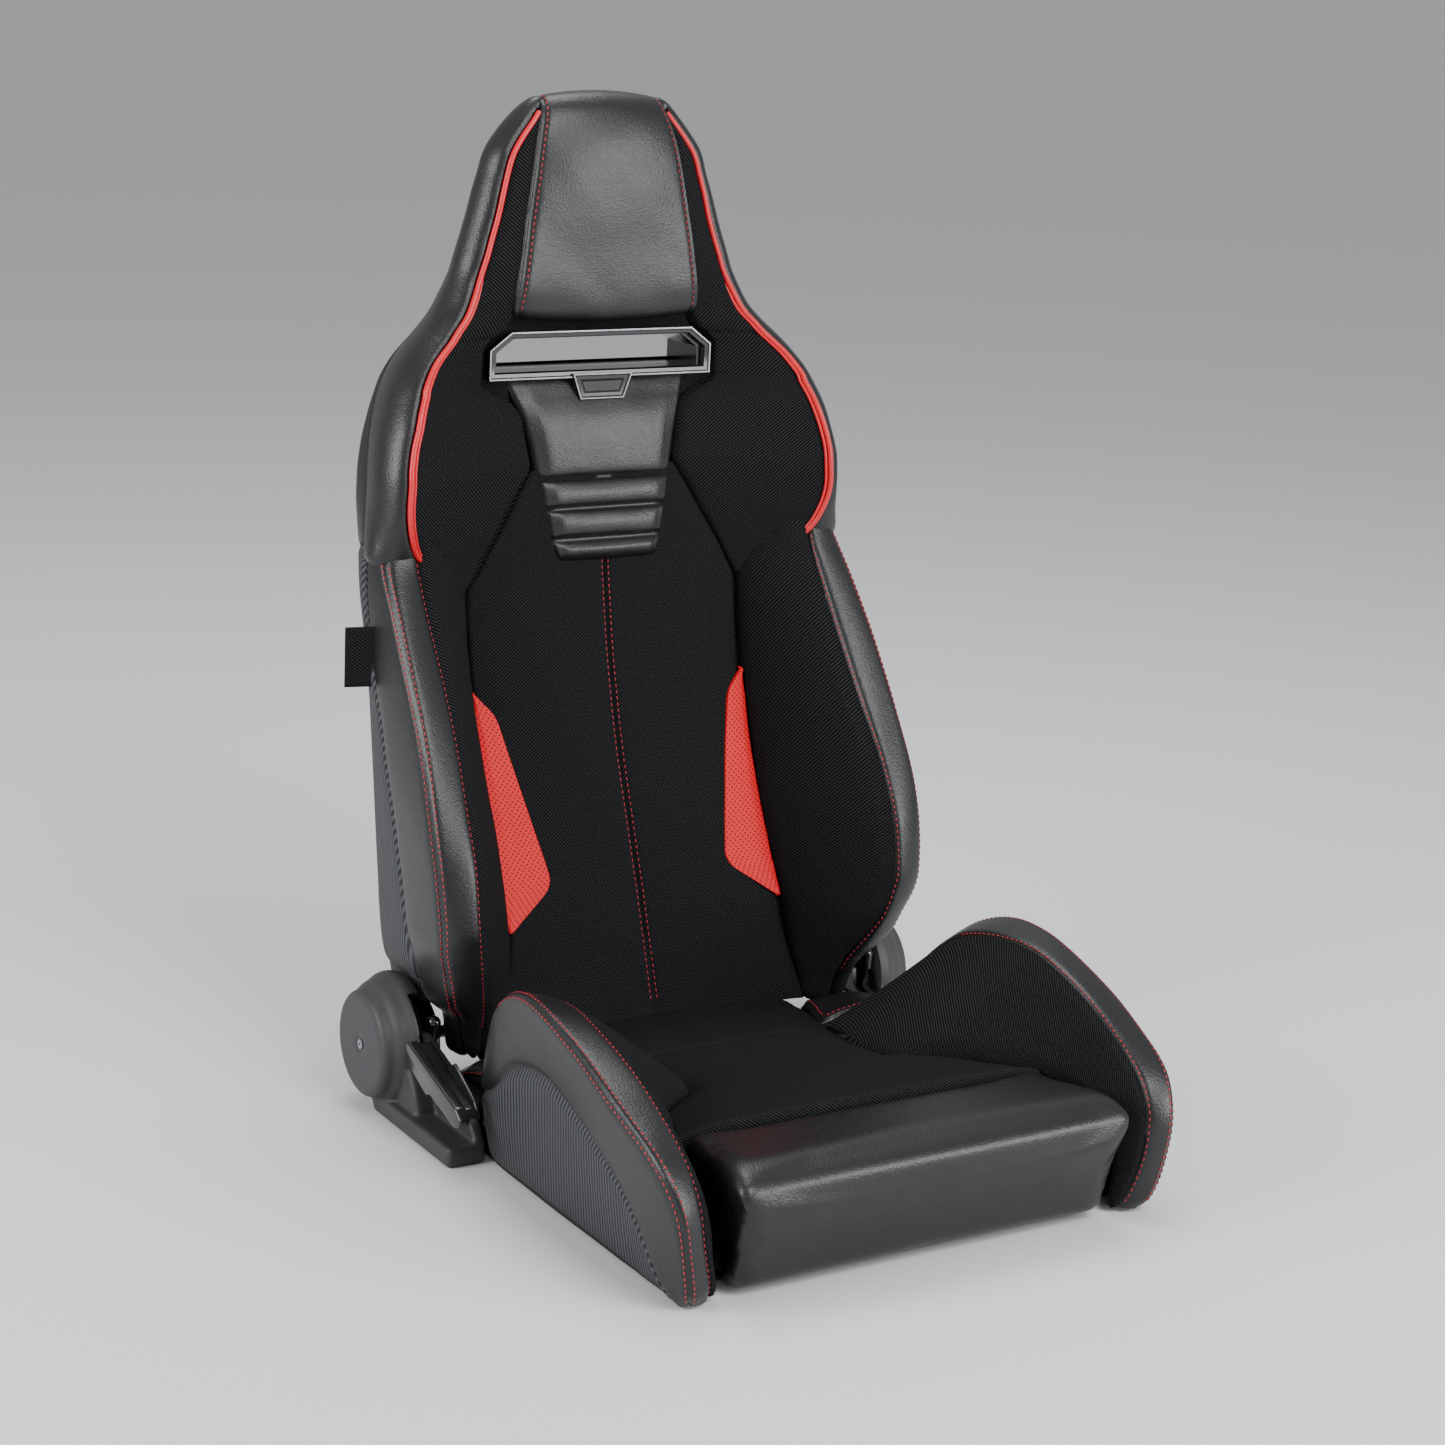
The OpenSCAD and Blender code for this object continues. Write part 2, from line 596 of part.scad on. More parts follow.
module shoulder() color(vinyl) loft([
    for (z = [526, 567, 606, 643, 679, 710, 725])
        let (inner = at(UPPER, z, 1) - 2)
        [[127, inner, z], [at(UPPER, z, 2), at(UPPER, z, 3), z], [at(UPPER, z, 4), at(UPPER, z, 5), z],
            [at(UPPER, z, 4) - 4, at(UPPER, z, 5) + 8, z], [127, min(inner + 36, 374), z]]
]);

module shoulder_left() shoulder();
module shoulder_right() mirror([1, 0, 0]) shoulder();

module head_pad() color(vinyl) loft([
    for (z = [727, 740, 776, 813, 852, 889, 921, 943])
        let (x = at(UPPER, z, 2))
        let (rear = min(at(UPPER, z, 5) + 8, 373))
        let (front = at(UPPER, z, 1))
        let (side = min(at(UPPER, z, 3), rear - 4))
        let (wide = min(at(UPPER, z, 4), x + 8))
        [[-x, side, z], [-0.6 * x, front, z], [0.6 * x, front, z], [x, side, z], [wide, rear, z], [-wide, rear, z]]
]);

// Piping along the front edge of the shoulder and the headrest
piping_path = smooth([
    for (r = UPPER) if (r[0] < 930) [r[2] + 1.5, r[3] - 3.4, r[0] + (r[0] == 526 ? 2 : 0)]
], 2);

module piping_left() color(red) tube_along(piping_path, piping_d / 2, 8);
module piping_right() mirror([1, 0, 0]) piping_left();

// ---------- Harness slot ----------

// Opening of the slot in X and Z, with its upper corners cut off
module slot_outline() polygon([[-slot_w / 2, -slot_h / 2], [slot_w / 2, -slot_h / 2], [slot_w / 2, 2],
    [slot_w / 2 - 20, slot_h / 2], [-slot_w / 2 + 20, slot_h / 2], [-slot_w / 2, 2]]);

module xz_plate(y, t) translate([0, y + t, slot_z]) rotate([90, 0, 0]) linear_extrude(height = t) children();

module slot_bezel() color(gloss_black) difference() {
    xz_plate(bezel_y, 4) polygon([
        [-123, -23], [-33, -23], [-24, -44], [24, -44], [33, -23], [123, -23],
        [123, 6], [100, 23], [-100, 23], [-123, 6]]);
    xz_plate(bezel_y - 1, 6) slot_outline();
}

module slot_tunnel() color(gloss_black) difference() {
    xz_plate(bezel_y + 4, 58) polygon([[-117, -21], [117, -21], [117, 4], [95, 21], [-95, 21], [-117, 4]]);
    xz_plate(bezel_y, 70) slot_outline();
}

// Blank plate on the bezel's tongue
module bezel_badge() color(black_plastic) xz_plate(bezel_y - 2, 2)
    polygon([[-26, -21], [26, -21], [19, -37], [-19, -37]]);

module rear_bezel() color(gloss_black) difference() {
    xz_plate(413, 3) polygon([[-123, -23], [123, -23], [123, 6], [100, 23], [-100, 23], [-123, 6]]);
    xz_plate(412, 6) slot_outline();
}

// ---------- Rear shell ----------

// Outer line of the shell at height z: rim, rear edge, quarter and middle, for x >= 0
function shell_line(z, inset) = let (low = z < 525)
    let (rim = low ? [at(BACK, z, 8), at(BACK, z, 9) + 2] : [at(UPPER, z, 4), at(UPPER, z, 5) + 10])
    let (edge = low ? [at(BACK, z, 10), at(BACK, z, 11)] : [at(UPPER, z, 6), at(UPPER, z, 7)])
    let (rear = low ? at(BACK, z, 12) : at(UPPER, z, 8))
    [
        rim - [inset, 0], edge - [inset, inset * 0.7],
        [edge[0] * 0.8 - inset, edge[1] + (rear - edge[1]) * 0.45 - inset],
        [edge[0] * 0.4, edge[1] + (rear - edge[1]) * 0.9 - inset], [0, rear - inset]
    ];

function shell_ring(z) =
    let (out = shell_line(z, 0))
    let (inn = shell_line(z, shell_t))
    concat(
        [for (p = out) [p[0], p[1], z]],
        [for (i = [len(out) - 2:-1:0]) [-out[i][0], out[i][1], z]],
        [for (i = [0:len(inn) - 1]) [-inn[i][0], inn[i][1], z]],
        [for (i = [len(inn) - 2:-1:0]) [inn[i][0], inn[i][1], z]]);

module back_shell() color(vinyl) difference() {
    heights = concat([118], [for (i = [1:len(BACK) - 1]) BACK[i][0]],
        [for (i = [1:len(UPPER) - 2]) UPPER[i][0]], [942]);
    loft([for (z = heights) shell_ring(z)], true);
    xz_plate(400, 20)
        polygon([[-117.5, -21.5], [117.5, -21.5], [117.5, 4.5], [95.5, 21.5], [-95.5, 21.5], [-117.5, 4.5]]);
}

// Clips that hold the shell to the hoop
module shell_clips() color(black_plastic) both_sides() for (z = [280, 460, 600])
    let (low = z < 525)
    let (y = low ? at(BACK, z, 12) - 12 : at(UPPER, z, 8) - 8)
    translate([150, y - 12, z]) rotate([-90, 0, 0]) cylinder(r = 5, h = 9, $fn = 32);

// Folded cloth tag sewn into the side seam
module side_tag() color(fabric) translate([-262.6, 304, 388]) rotate([0, 0, 143]) cube([28, 1.4, 58]);

base_rail_left();
base_rail_right();
front_cross_tube();
rear_cross_tube();
seat_pan();
weld_nuts();
cushion_foam();
nose_pad();
cushion_bolster_left();
cushion_bolster_right();
cushion_gusset_left();
cushion_gusset_right();
recliner_bracket_left();
recliner_bracket_right();
recliner_bolts();
pivot_bush_left();
pivot_bush_right();
recline_spring_left();
recline_spring_right();
recliner_cover_left();
recliner_cover_right();
cover_screws();
pawl_pins();
pawl_left();
pawl_right();
lever_arm();
lever_grip();
grip_screws();
sync_rod();
release_cam_left();
release_cam_right();
recliner_arm_left();
recliner_arm_right();
arm_bolts();
back_side_plate_left();
back_side_plate_right();
back_hoop();
back_cross_tubes();
back_springs();
back_foam();
chest_foam();
channel_pad();
lumbar_insert_left();
lumbar_insert_right();
back_bolster_left();
back_bolster_right();
shoulder_left();
shoulder_right();
head_pad();
piping_left();
piping_right();
slot_bezel();
slot_tunnel();
bezel_badge();
rear_bezel();
back_shell();
shell_clips();
side_tag();
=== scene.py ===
import math

import bmesh
import bpy
import numpy as np
from mathutils import Matrix, Vector


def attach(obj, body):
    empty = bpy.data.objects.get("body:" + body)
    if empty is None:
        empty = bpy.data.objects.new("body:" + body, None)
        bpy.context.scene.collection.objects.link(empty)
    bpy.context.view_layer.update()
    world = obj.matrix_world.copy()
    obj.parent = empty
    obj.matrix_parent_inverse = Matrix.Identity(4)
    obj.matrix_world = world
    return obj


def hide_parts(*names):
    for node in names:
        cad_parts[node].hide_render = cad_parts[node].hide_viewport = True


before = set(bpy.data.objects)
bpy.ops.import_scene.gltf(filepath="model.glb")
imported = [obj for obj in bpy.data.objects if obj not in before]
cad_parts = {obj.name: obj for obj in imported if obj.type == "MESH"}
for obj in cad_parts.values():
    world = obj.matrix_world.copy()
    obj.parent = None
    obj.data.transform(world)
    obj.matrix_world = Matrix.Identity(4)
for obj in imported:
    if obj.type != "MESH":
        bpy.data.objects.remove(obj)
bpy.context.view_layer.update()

MM = 0.001

# ---------------------------------------------------------------------------------------------
# Studio: a flat pale floor under a pale room, four soft boxes, and a long lens at
# about chest height, three-quarters from the front on the lever's side.
# ---------------------------------------------------------------------------------------------
camera_place = Vector((-1.48986, -2.28094, 1.12159))
camera_azimuth, camera_elevation, camera_roll = -32.10, 14.63, 2.71
lens = bpy.data.cameras.new("camera")
lens.sensor_width = 36.0
lens.lens = 77.34
camera = bpy.data.objects.new("camera", lens)
camera.matrix_world = (
    Matrix.Translation(camera_place)
    @ Matrix.Rotation(math.radians(camera_azimuth), 4, "Z")
    @ Matrix.Rotation(math.radians(90 - camera_elevation), 4, "X")
    @ Matrix.Rotation(math.radians(camera_roll), 4, "Z")
)
bpy.context.scene.collection.objects.link(camera)
bpy.context.scene.camera = camera


def linear(hex_colour):
    """A colour written as sRGB hex, as the linear values that a shader takes."""
    parts = [int(hex_colour[i:i + 2], 16) / 255 for i in (1, 3, 5)]
    return [c / 12.92 if c <= 0.04045 else ((c + 0.055) / 1.055) ** 2.4 for c in parts] + [1.0]


def add(tree, kind, inputs=None, **settings):
    """One node with its settings; an input is a value, or a socket to link."""
    made = tree.nodes.new(kind)
    for key, value in settings.items():
        setattr(made, key, value)
    for key, value in (inputs or {}).items():
        if isinstance(value, bpy.types.NodeSocket):
            tree.links.new(value, made.inputs[key])
        else:
            made.inputs[key].default_value = value
    return made


def material(name, **surface):
    """A material with only its Principled shader, whose own sockets are set here."""
    made = bpy.data.materials.new(name)
    made.use_nodes = True
    shader = made.node_tree.nodes["Principled BSDF"]
    for key, value in surface.items():
        shader.inputs[key.replace("_", " ")].default_value = value
    return made, made.node_tree, shader


room = bpy.data.worlds.new("pale room")
room.use_nodes = True
room.node_tree.nodes["Background"].inputs["Color"].default_value = linear("#e9eaec")
room.node_tree.nodes["Background"].inputs["Strength"].default_value = 0.62
bpy.context.scene.world = room

floor_paint, _, _ = material("matt pale floor paint", Base_Color=linear("#d9dadc"), Roughness=0.85)
bm = bmesh.new()
bmesh.ops.create_grid(bm, x_segments=1, y_segments=1, size=80.0)
floor_mesh = bpy.data.meshes.new("floor")
bm.to_mesh(floor_mesh)
bm.free()
floor = bpy.data.objects.new("floor", floor_mesh)
floor.data.materials.append(floor_paint)
bpy.context.scene.collection.objects.link(floor)

# name, place, what it looks at, size, watts
for name, place, aim, size, power in (
    ("key", (0.2, -2.3, 2.9), (0, 0, 0.3), 1.3, 70),
    ("side", (-3.0, 0.2, 1.5), (0, 0.1, 0.45), 1.6, 85),
    ("top", (0.3, 1.0, 3.0), (0, 0.1, 0.3), 1.4, 40),
    ("front", (1.7, -2.5, 1.15), (0, 0.1, 0.6), 1.5, 75),
):
    lamp = bpy.data.lights.new(name, "AREA")
    lamp.size = size
    lamp.energy = power
    lit = bpy.data.objects.new(name, lamp)
    lit.location = place
    lit.rotation_euler = (Vector(aim) - Vector(place)).to_track_quat("-Z", "Y").to_euler()
    bpy.context.scene.collection.objects.link(lit)


# ---------------------------------------------------------------------------------------------
# Pressed steel: floor rails, brackets, arms, side plates, tubes and pan, cut and bent from
# sheet and tube, then dipped in black electrocoat, which leaves a thin even satin film.
# ---------------------------------------------------------------------------------------------
electrocoat, tree, shader = material("electrocoated steel", Roughness=0.38, Coat_Weight=0.3,
    Coat_Roughness=0.3)
place = add(tree, "ShaderNodeTexCoord").outputs["Object"]
# dust settles in patches about 60 mm wide
patch = add(tree, "ShaderNodeTexNoise", {"Vector": place, "Scale": 16.0, "Detail": 3.0})
tone = add(tree, "ShaderNodeMix",
    {"Factor": patch.outputs["Fac"], "A": linear("#0d0e0f"), "B": linear("#1c1d1f")}, data_type="RGBA")
tree.links.new(tone.outputs["Result"], shader.inputs["Base Color"])
# orange peel of the dipped film, about 2 mm wide
peel = add(tree, "ShaderNodeTexNoise", {"Vector": place, "Scale": 480.0, "Detail": 2.0})
relief = add(tree, "ShaderNodeBump", {"Height": peel.outputs["Fac"], "Strength": 0.12, "Distance": 0.0004})
tree.links.new(relief.outputs["Normal"], shader.inputs["Normal"])

SIDES = ("left", "right")


def finish_nodes(look, *names):
    """Gives CAD nodes their material."""
    for name in names:
        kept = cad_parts[name]
        kept.data.materials.clear()
        kept.data.materials.append(look)


finish_nodes(
    electrocoat, "front_cross_tube", "rear_cross_tube", "seat_pan", "back_hoop", "back_cross_tubes",
    "lever_arm",
    *[part + "_" + side for side in SIDES
      for part in ("base_rail", "recliner_bracket", "back_side_plate")],
)

# The arms that carry the backrest are stove-enamelled gloss black after pressing.
enamel, tree, shader = material("gloss black enamel", Coat_Weight=0.5, Coat_Roughness=0.04)
place = add(tree, "ShaderNodeTexCoord").outputs["Object"]
flow = add(tree, "ShaderNodeTexNoise", {"Vector": place, "Scale": 45.0, "Detail": 2.0})
tone = add(tree, "ShaderNodeMix",
    {"Factor": flow.outputs["Fac"], "A": linear("#060607"), "B": linear("#0e0e10")}, data_type="RGBA")
tree.links.new(tone.outputs["Result"], shader.inputs["Base Color"])
gloss = add(tree, "ShaderNodeMapRange", {"Value": flow.outputs["Fac"], "To Min": 0.08, "To Max": 0.2})
tree.links.new(gloss.outputs["Result"], shader.inputs["Roughness"])
finish_nodes(enamel, "recliner_arm_left", "recliner_arm_right")

# ---------------------------------------------------------------------------------------------
# Bolts, nuts, bushes, pawls and cams: cold-headed and turned steel with a thin bright zinc
# plate that has gone slightly grey, and spring wire that is only oiled.
# ---------------------------------------------------------------------------------------------
zinc, tree, shader = material("zinc-plated steel", Metallic=1.0)
place = add(tree, "ShaderNodeTexCoord").outputs["Object"]
bloom = add(tree, "ShaderNodeTexNoise", {"Vector": place, "Scale": 180.0, "Detail": 4.0})
tone = add(tree, "ShaderNodeMix",
    {"Factor": bloom.outputs["Fac"], "A": linear("#8f9296"), "B": linear("#b9bbbe")}, data_type="RGBA")
tree.links.new(tone.outputs["Result"], shader.inputs["Base Color"])
gloss = add(tree, "ShaderNodeMapRange", {"Value": bloom.outputs["Fac"], "To Min": 0.28, "To Max": 0.45})
tree.links.new(gloss.outputs["Result"], shader.inputs["Roughness"])

oiled_wire, tree, shader = material("oiled spring wire", Metallic=1.0, Roughness=0.34)
place = add(tree, "ShaderNodeTexCoord").outputs["Object"]
drawn = add(tree, "ShaderNodeTexNoise", {"Vector": place, "Scale": 90.0, "Detail": 2.0})
tone = add(tree, "ShaderNodeMix",
    {"Factor": drawn.outputs["Fac"], "A": linear("#3a3b3d"), "B": linear("#5a5b5e")}, data_type="RGBA")
tree.links.new(tone.outputs["Result"], shader.inputs["Base Color"])

finish_nodes(
    zinc, "weld_nuts", "recliner_bolts", "cover_screws", "pawl_pins", "grip_screws", "sync_rod", "arm_bolts",
    *[part + "_" + side for side in SIDES for part in ("pivot_bush", "pawl", "release_cam")],
)
finish_nodes(oiled_wire, "back_springs", "recline_spring_left", "recline_spring_right")

# ---------------------------------------------------------------------------------------------
# Recliner covers: injection-moulded charcoal ABS with a fine spark-eroded grain, a stepped
# round boss over the pivot that runs down into a flat foot, with room above it for fingers.
# ---------------------------------------------------------------------------------------------
abs_grain, tree, shader = material("grained charcoal ABS", Specular_IOR_Level=0.45)
place = add(tree, "ShaderNodeTexCoord").outputs["Object"]
# the grain's pits are about 0.6 mm, drawn at 1.4 mm so that they show
pits = add(tree, "ShaderNodeTexNoise", {"Vector": place, "Scale": 700.0, "Detail": 3.0})
rub = add(tree, "ShaderNodeTexNoise", {"Vector": place, "Scale": 22.0, "Detail": 4.0})
tone = add(tree, "ShaderNodeMix",
    {"Factor": rub.outputs["Fac"], "A": linear("#292a2c"), "B": linear("#38393b")}, data_type="RGBA")
tree.links.new(tone.outputs["Result"], shader.inputs["Base Color"])
gloss = add(tree, "ShaderNodeMapRange", {"Value": rub.outputs["Fac"], "To Min": 0.44, "To Max": 0.6})
tree.links.new(gloss.outputs["Result"], shader.inputs["Roughness"])
relief = add(tree, "ShaderNodeBump", {"Height": pits.outputs["Fac"], "Strength": 0.25, "Distance": 0.0005})
tree.links.new(relief.outputs["Normal"], shader.inputs["Normal"])

finish_nodes(abs_grain, "shell_clips")
pivot_y, pivot_z = 237.0, 68.0
open_side = 248.5


def finished(name, bm, looks, shade_angle=40.0):
    """The bmesh as an object at the origin, with its materials and smooth shading."""
    mesh = bpy.data.meshes.new(name)
    bm.to_mesh(mesh)
    bm.free()
    made = bpy.data.objects.new(name, mesh)
    bpy.context.scene.collection.objects.link(made)
    for look in looks:
        mesh.materials.append(look)
    mesh.shade_smooth()
    mesh.set_sharp_from_angle(angle=math.radians(shade_angle))
    return made


def applied(made):
    """Makes the object's modifiers its mesh."""
    shaped = bpy.data.meshes.new_from_object(made.evaluated_get(bpy.context.evaluated_depsgraph_get()))
    made.modifiers.clear()
    made.data = shaped


def settled(piece, body, node=None):
    """Says the body that a piece rides and the CAD node it stands for."""
    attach(piece, body)
    if node:
        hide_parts(node)


def turned(bm, profile, side):
    """A closed solid spun about the pivot's line from (distance along X, radius) points."""
    points = [bm.verts.new((side * x * MM, pivot_y * MM, (pivot_z + r) * MM)) for x, r in profile]
    edges = [bm.edges.new(pair) for pair in zip(points, points[1:])]
    bmesh.ops.spin(
        bm, geom=points + edges, cent=(0, pivot_y * MM, pivot_z * MM), axis=(1, 0, 0),
        angle=math.tau, steps=96, use_merge=True,
    )
    bmesh.ops.remove_doubles(bm, verts=bm.verts, dist=1e-6)


def slab(bm, outline, x_from, x_to, side, round_by=0.0):
    """A plate across X whose outline is given in Y and Z, with its edges rounded."""
    corners = [bm.verts.new((side * x_from * MM, y * MM, z * MM)) for y, z in outline]
    face = bm.faces.new(corners)
    pulled = bmesh.ops.extrude_face_region(bm, geom=[face])["geom"]
    moved = [g for g in pulled if isinstance(g, bmesh.types.BMVert)]
    bmesh.ops.translate(bm, verts=moved, vec=(side * (x_to - x_from) * MM, 0, 0))
    if round_by:
        edges = list({edge for vert in corners + moved for edge in vert.link_edges})
        bmesh.ops.bevel(
            bm, geom=edges, offset=round_by * MM, segments=4, profile=0.5, affect="EDGES", material=-1,
        )


for side_name, side in (("left", 1), ("right", -1)):
    bm = bmesh.new()
    boss = [(250, 0), (250, 64), (262, 66), (266, 65.5), (270, 64), (274, 61), (280, 59), (284, 56.5),
        (287, 53.5),
            (291, 52.2), (294, 51.5), (296.5, 50), (298.2, 47.5), (299, 44), (299, 12), (298.4, 9),
            (297.4, 7), (297.4, 0)]
    turned(bm, boss, side)
    slab(bm, [(150, 0), (232, 0), (240, 12), (256, 62), (196, 68), (174, 60), (161, 40), (153, 18)], 248, 278,
        side, 5)
    slab(bm, [(74, 0), (230, 0), (240, 12), (252, 60), (190, 66), (150, 61), (112, 49), (84, 35), (74, 20)],
        246, 258, side, 3)
    slab(bm, [(73, 0), (232, 0), (238, 10), (238, 20), (73, 20)], 246, 286, side, 4)
    bmesh.ops.recalc_face_normals(bm, faces=bm.faces)
    moulding = finished("recliner_cover_moulding_" + side_name, bm, [abs_grain])
    fuse = moulding.modifiers.new("fuse", "REMESH")
    fuse.mode = "VOXEL"
    fuse.voxel_size = 1.7 * MM
    ease = moulding.modifiers.new("ease", "SMOOTH")
    ease.iterations = 7
    ease.factor = 0.6
    applied(moulding)
    # a channel inside it lets the stiffener on the backrest's arm swing by
    sweep = [math.radians(a) for a in range(72, 193, 8)]
    bm = bmesh.new()
    slab(bm, [(pivot_y + reach * math.cos(a), pivot_z + reach * math.sin(a))
              for reach, turns in ((69.5, sweep), (42.5, sweep[::-1])) for a in turns], 243, 255, side)
    bmesh.ops.recalc_face_normals(bm, faces=bm.faces)
    channel = finished("channel", bm, [])
    cut = moulding.modifiers.new("channel", "BOOLEAN")
    cut.object = channel
    cut.solver = "EXACT"
    applied(moulding)
    bpy.data.objects.remove(channel)
    # the moulding is open towards the seat, and the lever's cover has a slot that the arm swings in
    bm = bmesh.new()
    bm.from_mesh(moulding.data)
    bmesh.ops.bisect_plane(
        bm, geom=bm.verts[:] + bm.edges[:] + bm.faces[:], plane_co=(side * open_side * MM, 0, 0),
        plane_no=(side, 0, 0), clear_inner=True,
    )
    if side < 0:
        gap = []
        for f in bm.faces:
            x, y, z = (c / MM for c in f.calc_center_median())
            reach = math.hypot(y - pivot_y, z - pivot_z)
            angle = math.degrees(math.atan2(z - pivot_z, y - pivot_y))
            if abs(x) < 266.0 and reach > 40 and 120 < angle < 178 and z > 68.5:
                gap.append(f)
        bmesh.ops.delete(bm, geom=gap, context="FACES")
    bm.to_mesh(moulding.data)
    bm.free()
    moulding.data.shade_smooth()
    wall = moulding.modifiers.new("wall", "SOLIDIFY")
    wall.thickness = 2.2 * MM
    wall.offset = -1.0
    settled(moulding, "base", "recliner_cover_" + side_name)

# ---------------------------------------------------------------------------------------------
# Release lever: a paddle grip moulded in gloss black ABS over the steel arm, with a thick
# outer rail and a thin web towards the cushion. It is screwed to the arm from inside.
# ---------------------------------------------------------------------------------------------
gloss_abs, tree, shader = material("polished black ABS", Base_Color=linear("#151618"), Coat_Weight=0.4,
    Coat_Roughness=0.08)
place = add(tree, "ShaderNodeTexCoord").outputs["Object"]
smear = add(tree, "ShaderNodeTexNoise", {"Vector": place, "Scale": 35.0, "Detail": 3.0})
gloss = add(tree, "ShaderNodeMapRange", {"Value": smear.outputs["Fac"], "To Min": 0.18, "To Max": 0.3})
tree.links.new(gloss.outputs["Result"], shader.inputs["Roughness"])

bm = bmesh.new()
slab(bm, [(166, 91), (160, 95), (60, 65), (49, 56), (52, 48), (63, 45), (112, 59), (120, 56), (148, 68),
    (162, 80)], 276, 287, -1, 2.2)
slab(bm, [(163, 91), (158, 92), (60, 62.5), (53, 56), (56, 51), (66, 50), (114, 64), (122, 62), (148, 74),
    (160, 82)], 263.6, 277, -1, 1.6)
slab(bm, [(118, 80.5), (104, 90), (62, 68), (56, 62), (58, 58)], 263.6, 267, -1, 1.2)
bmesh.ops.recalc_face_normals(bm, faces=bm.faces)
grip = finished("lever_paddle", bm, [gloss_abs], 30)
settled(grip, "lever", "lever_grip")
finish_nodes(gloss_abs, "slot_tunnel")

# ---------------------------------------------------------------------------------------------
# Leatherette: black vinyl on a knitted back, embossed with a fine pebble grain and pulled
# over foam, which leaves soft creases. It is wiped satin, so it shows broad soft highlights.
# ---------------------------------------------------------------------------------------------


def embossed(name, dark, light, rough_low, rough_high, relief_mm):
    """Embossed vinyl: two tones, a pebble grain 1.8 mm wide and creases about 8 mm long."""
    made, tree, shader = material(name, Specular_IOR_Level=0.5)
    place = add(tree, "ShaderNodeTexCoord").outputs["Object"]
    wear = add(tree, "ShaderNodeTexNoise", {"Vector": place, "Scale": 9.0, "Detail": 5.0})
    tone = add(tree, "ShaderNodeMix", {"Factor": wear.outputs["Fac"], "A": linear(dark), "B": linear(light)},
        data_type="RGBA")
    tree.links.new(tone.outputs["Result"], shader.inputs["Base Color"])
    pebble = add(tree, "ShaderNodeTexVoronoi", {"Vector": place, "Scale": 560.0}, feature="F1")
    bent = add(tree, "ShaderNodeTexNoise",
        {"Vector": place, "Scale": 130.0, "Detail": 4.0, "Distortion": 0.9})
    crease = add(tree, "ShaderNodeMapRange",
        {"Value": bent.outputs["Fac"], "From Min": 0.35, "From Max": 0.65})
    height = add(tree, "ShaderNodeMath", {0: crease.outputs["Result"], 1: 0.5, 2: pebble.outputs["Distance"]},
        operation="MULTIPLY_ADD")
    relief = add(tree, "ShaderNodeBump",
        {"Height": height.outputs["Value"], "Strength": 0.45, "Distance": relief_mm * MM})
    tree.links.new(relief.outputs["Normal"], shader.inputs["Normal"])
    gloss = add(tree, "ShaderNodeMapRange",
        {"Value": bent.outputs["Fac"], "To Min": rough_low, "To Max": rough_high})
    tree.links.new(gloss.outputs["Result"], shader.inputs["Roughness"])
    return made


leatherette = embossed("embossed black leatherette", "#0e0f10", "#16171a", 0.33, 0.42, 0.36)
red_piping = embossed("smooth red vinyl piping", "#c4101c", "#d81a26", 0.28, 0.38, 0.1)

# ---------------------------------------------------------------------------------------------
# Woven cloth: black polyester in a diagonal twill, as dull as felt. Its twill ridges and the flecks where the
# light catches a thread are painted lighter as highlight, and the dips between are painted darker as shade.
# The threads are about 1.2 mm apart and the twill is drawn at 2.6 mm so it shows.
# ---------------------------------------------------------------------------------------------
twill_pitch = 2.6
twill, tree, shader = material("black polyester twill", Roughness=0.97)
shader.inputs["Specular IOR Level"].default_value = 0.04
cut = add(tree, "ShaderNodeUVMap", uv_map="cloth").outputs["UV"]
turned_cut = add(tree, "ShaderNodeMapping",
    {"Vector": cut, "Rotation": (0, 0, math.radians(52)), "Scale": (1000 / twill_pitch,) * 3})
wale = add(tree, "ShaderNodeTexWave",
    {"Vector": turned_cut.outputs["Vector"], "Scale": 0.31831, "Distortion": 0.6, "Detail": 1.0,
    "Detail Scale": 3.0})
painted_thread_glint = add(tree, "ShaderNodeTexNoise", {"Vector": turned_cut.outputs["Vector"], "Scale": 1.3, "Detail": 2.0})
weave_and_painted_glint = add(tree, "ShaderNodeMath", {0: wale.outputs["Fac"], 1: painted_thread_glint.outputs["Fac"]}, operation="MULTIPLY")
# painted highlight and shade: the weave's ridges and thread flecks are lighter and the dips darker, in the
# base colour
tone = add(tree, "ShaderNodeMix",
    {"Factor": weave_and_painted_glint.outputs["Value"], "A": linear("#070708"), "B": linear("#3a3b3d")}, data_type="RGBA")
tree.links.new(tone.outputs["Result"], shader.inputs["Base Color"])
relief = add(tree, "ShaderNodeBump", {"Height": weave_and_painted_glint.outputs["Value"], "Strength": 0.5, "Distance": 0.0006})
tree.links.new(relief.outputs["Normal"], shader.inputs["Normal"])

# ---------------------------------------------------------------------------------------------
# Ribbed vinyl: charcoal sheet with fine moulded ribs 5 mm apart, used where shoes and
# doors rub, on the lower sides of the cushion and round the rear of the backrest. The crests of the ribs are
# painted lighter as highlight and the grooves darker as shade.
# ---------------------------------------------------------------------------------------------
rib_pitch = 5.0
ribbed, tree, shader = material("ribbed charcoal vinyl", Specular_IOR_Level=0.4, Roughness=0.6)
place = add(tree, "ShaderNodeTexCoord").outputs["Object"]
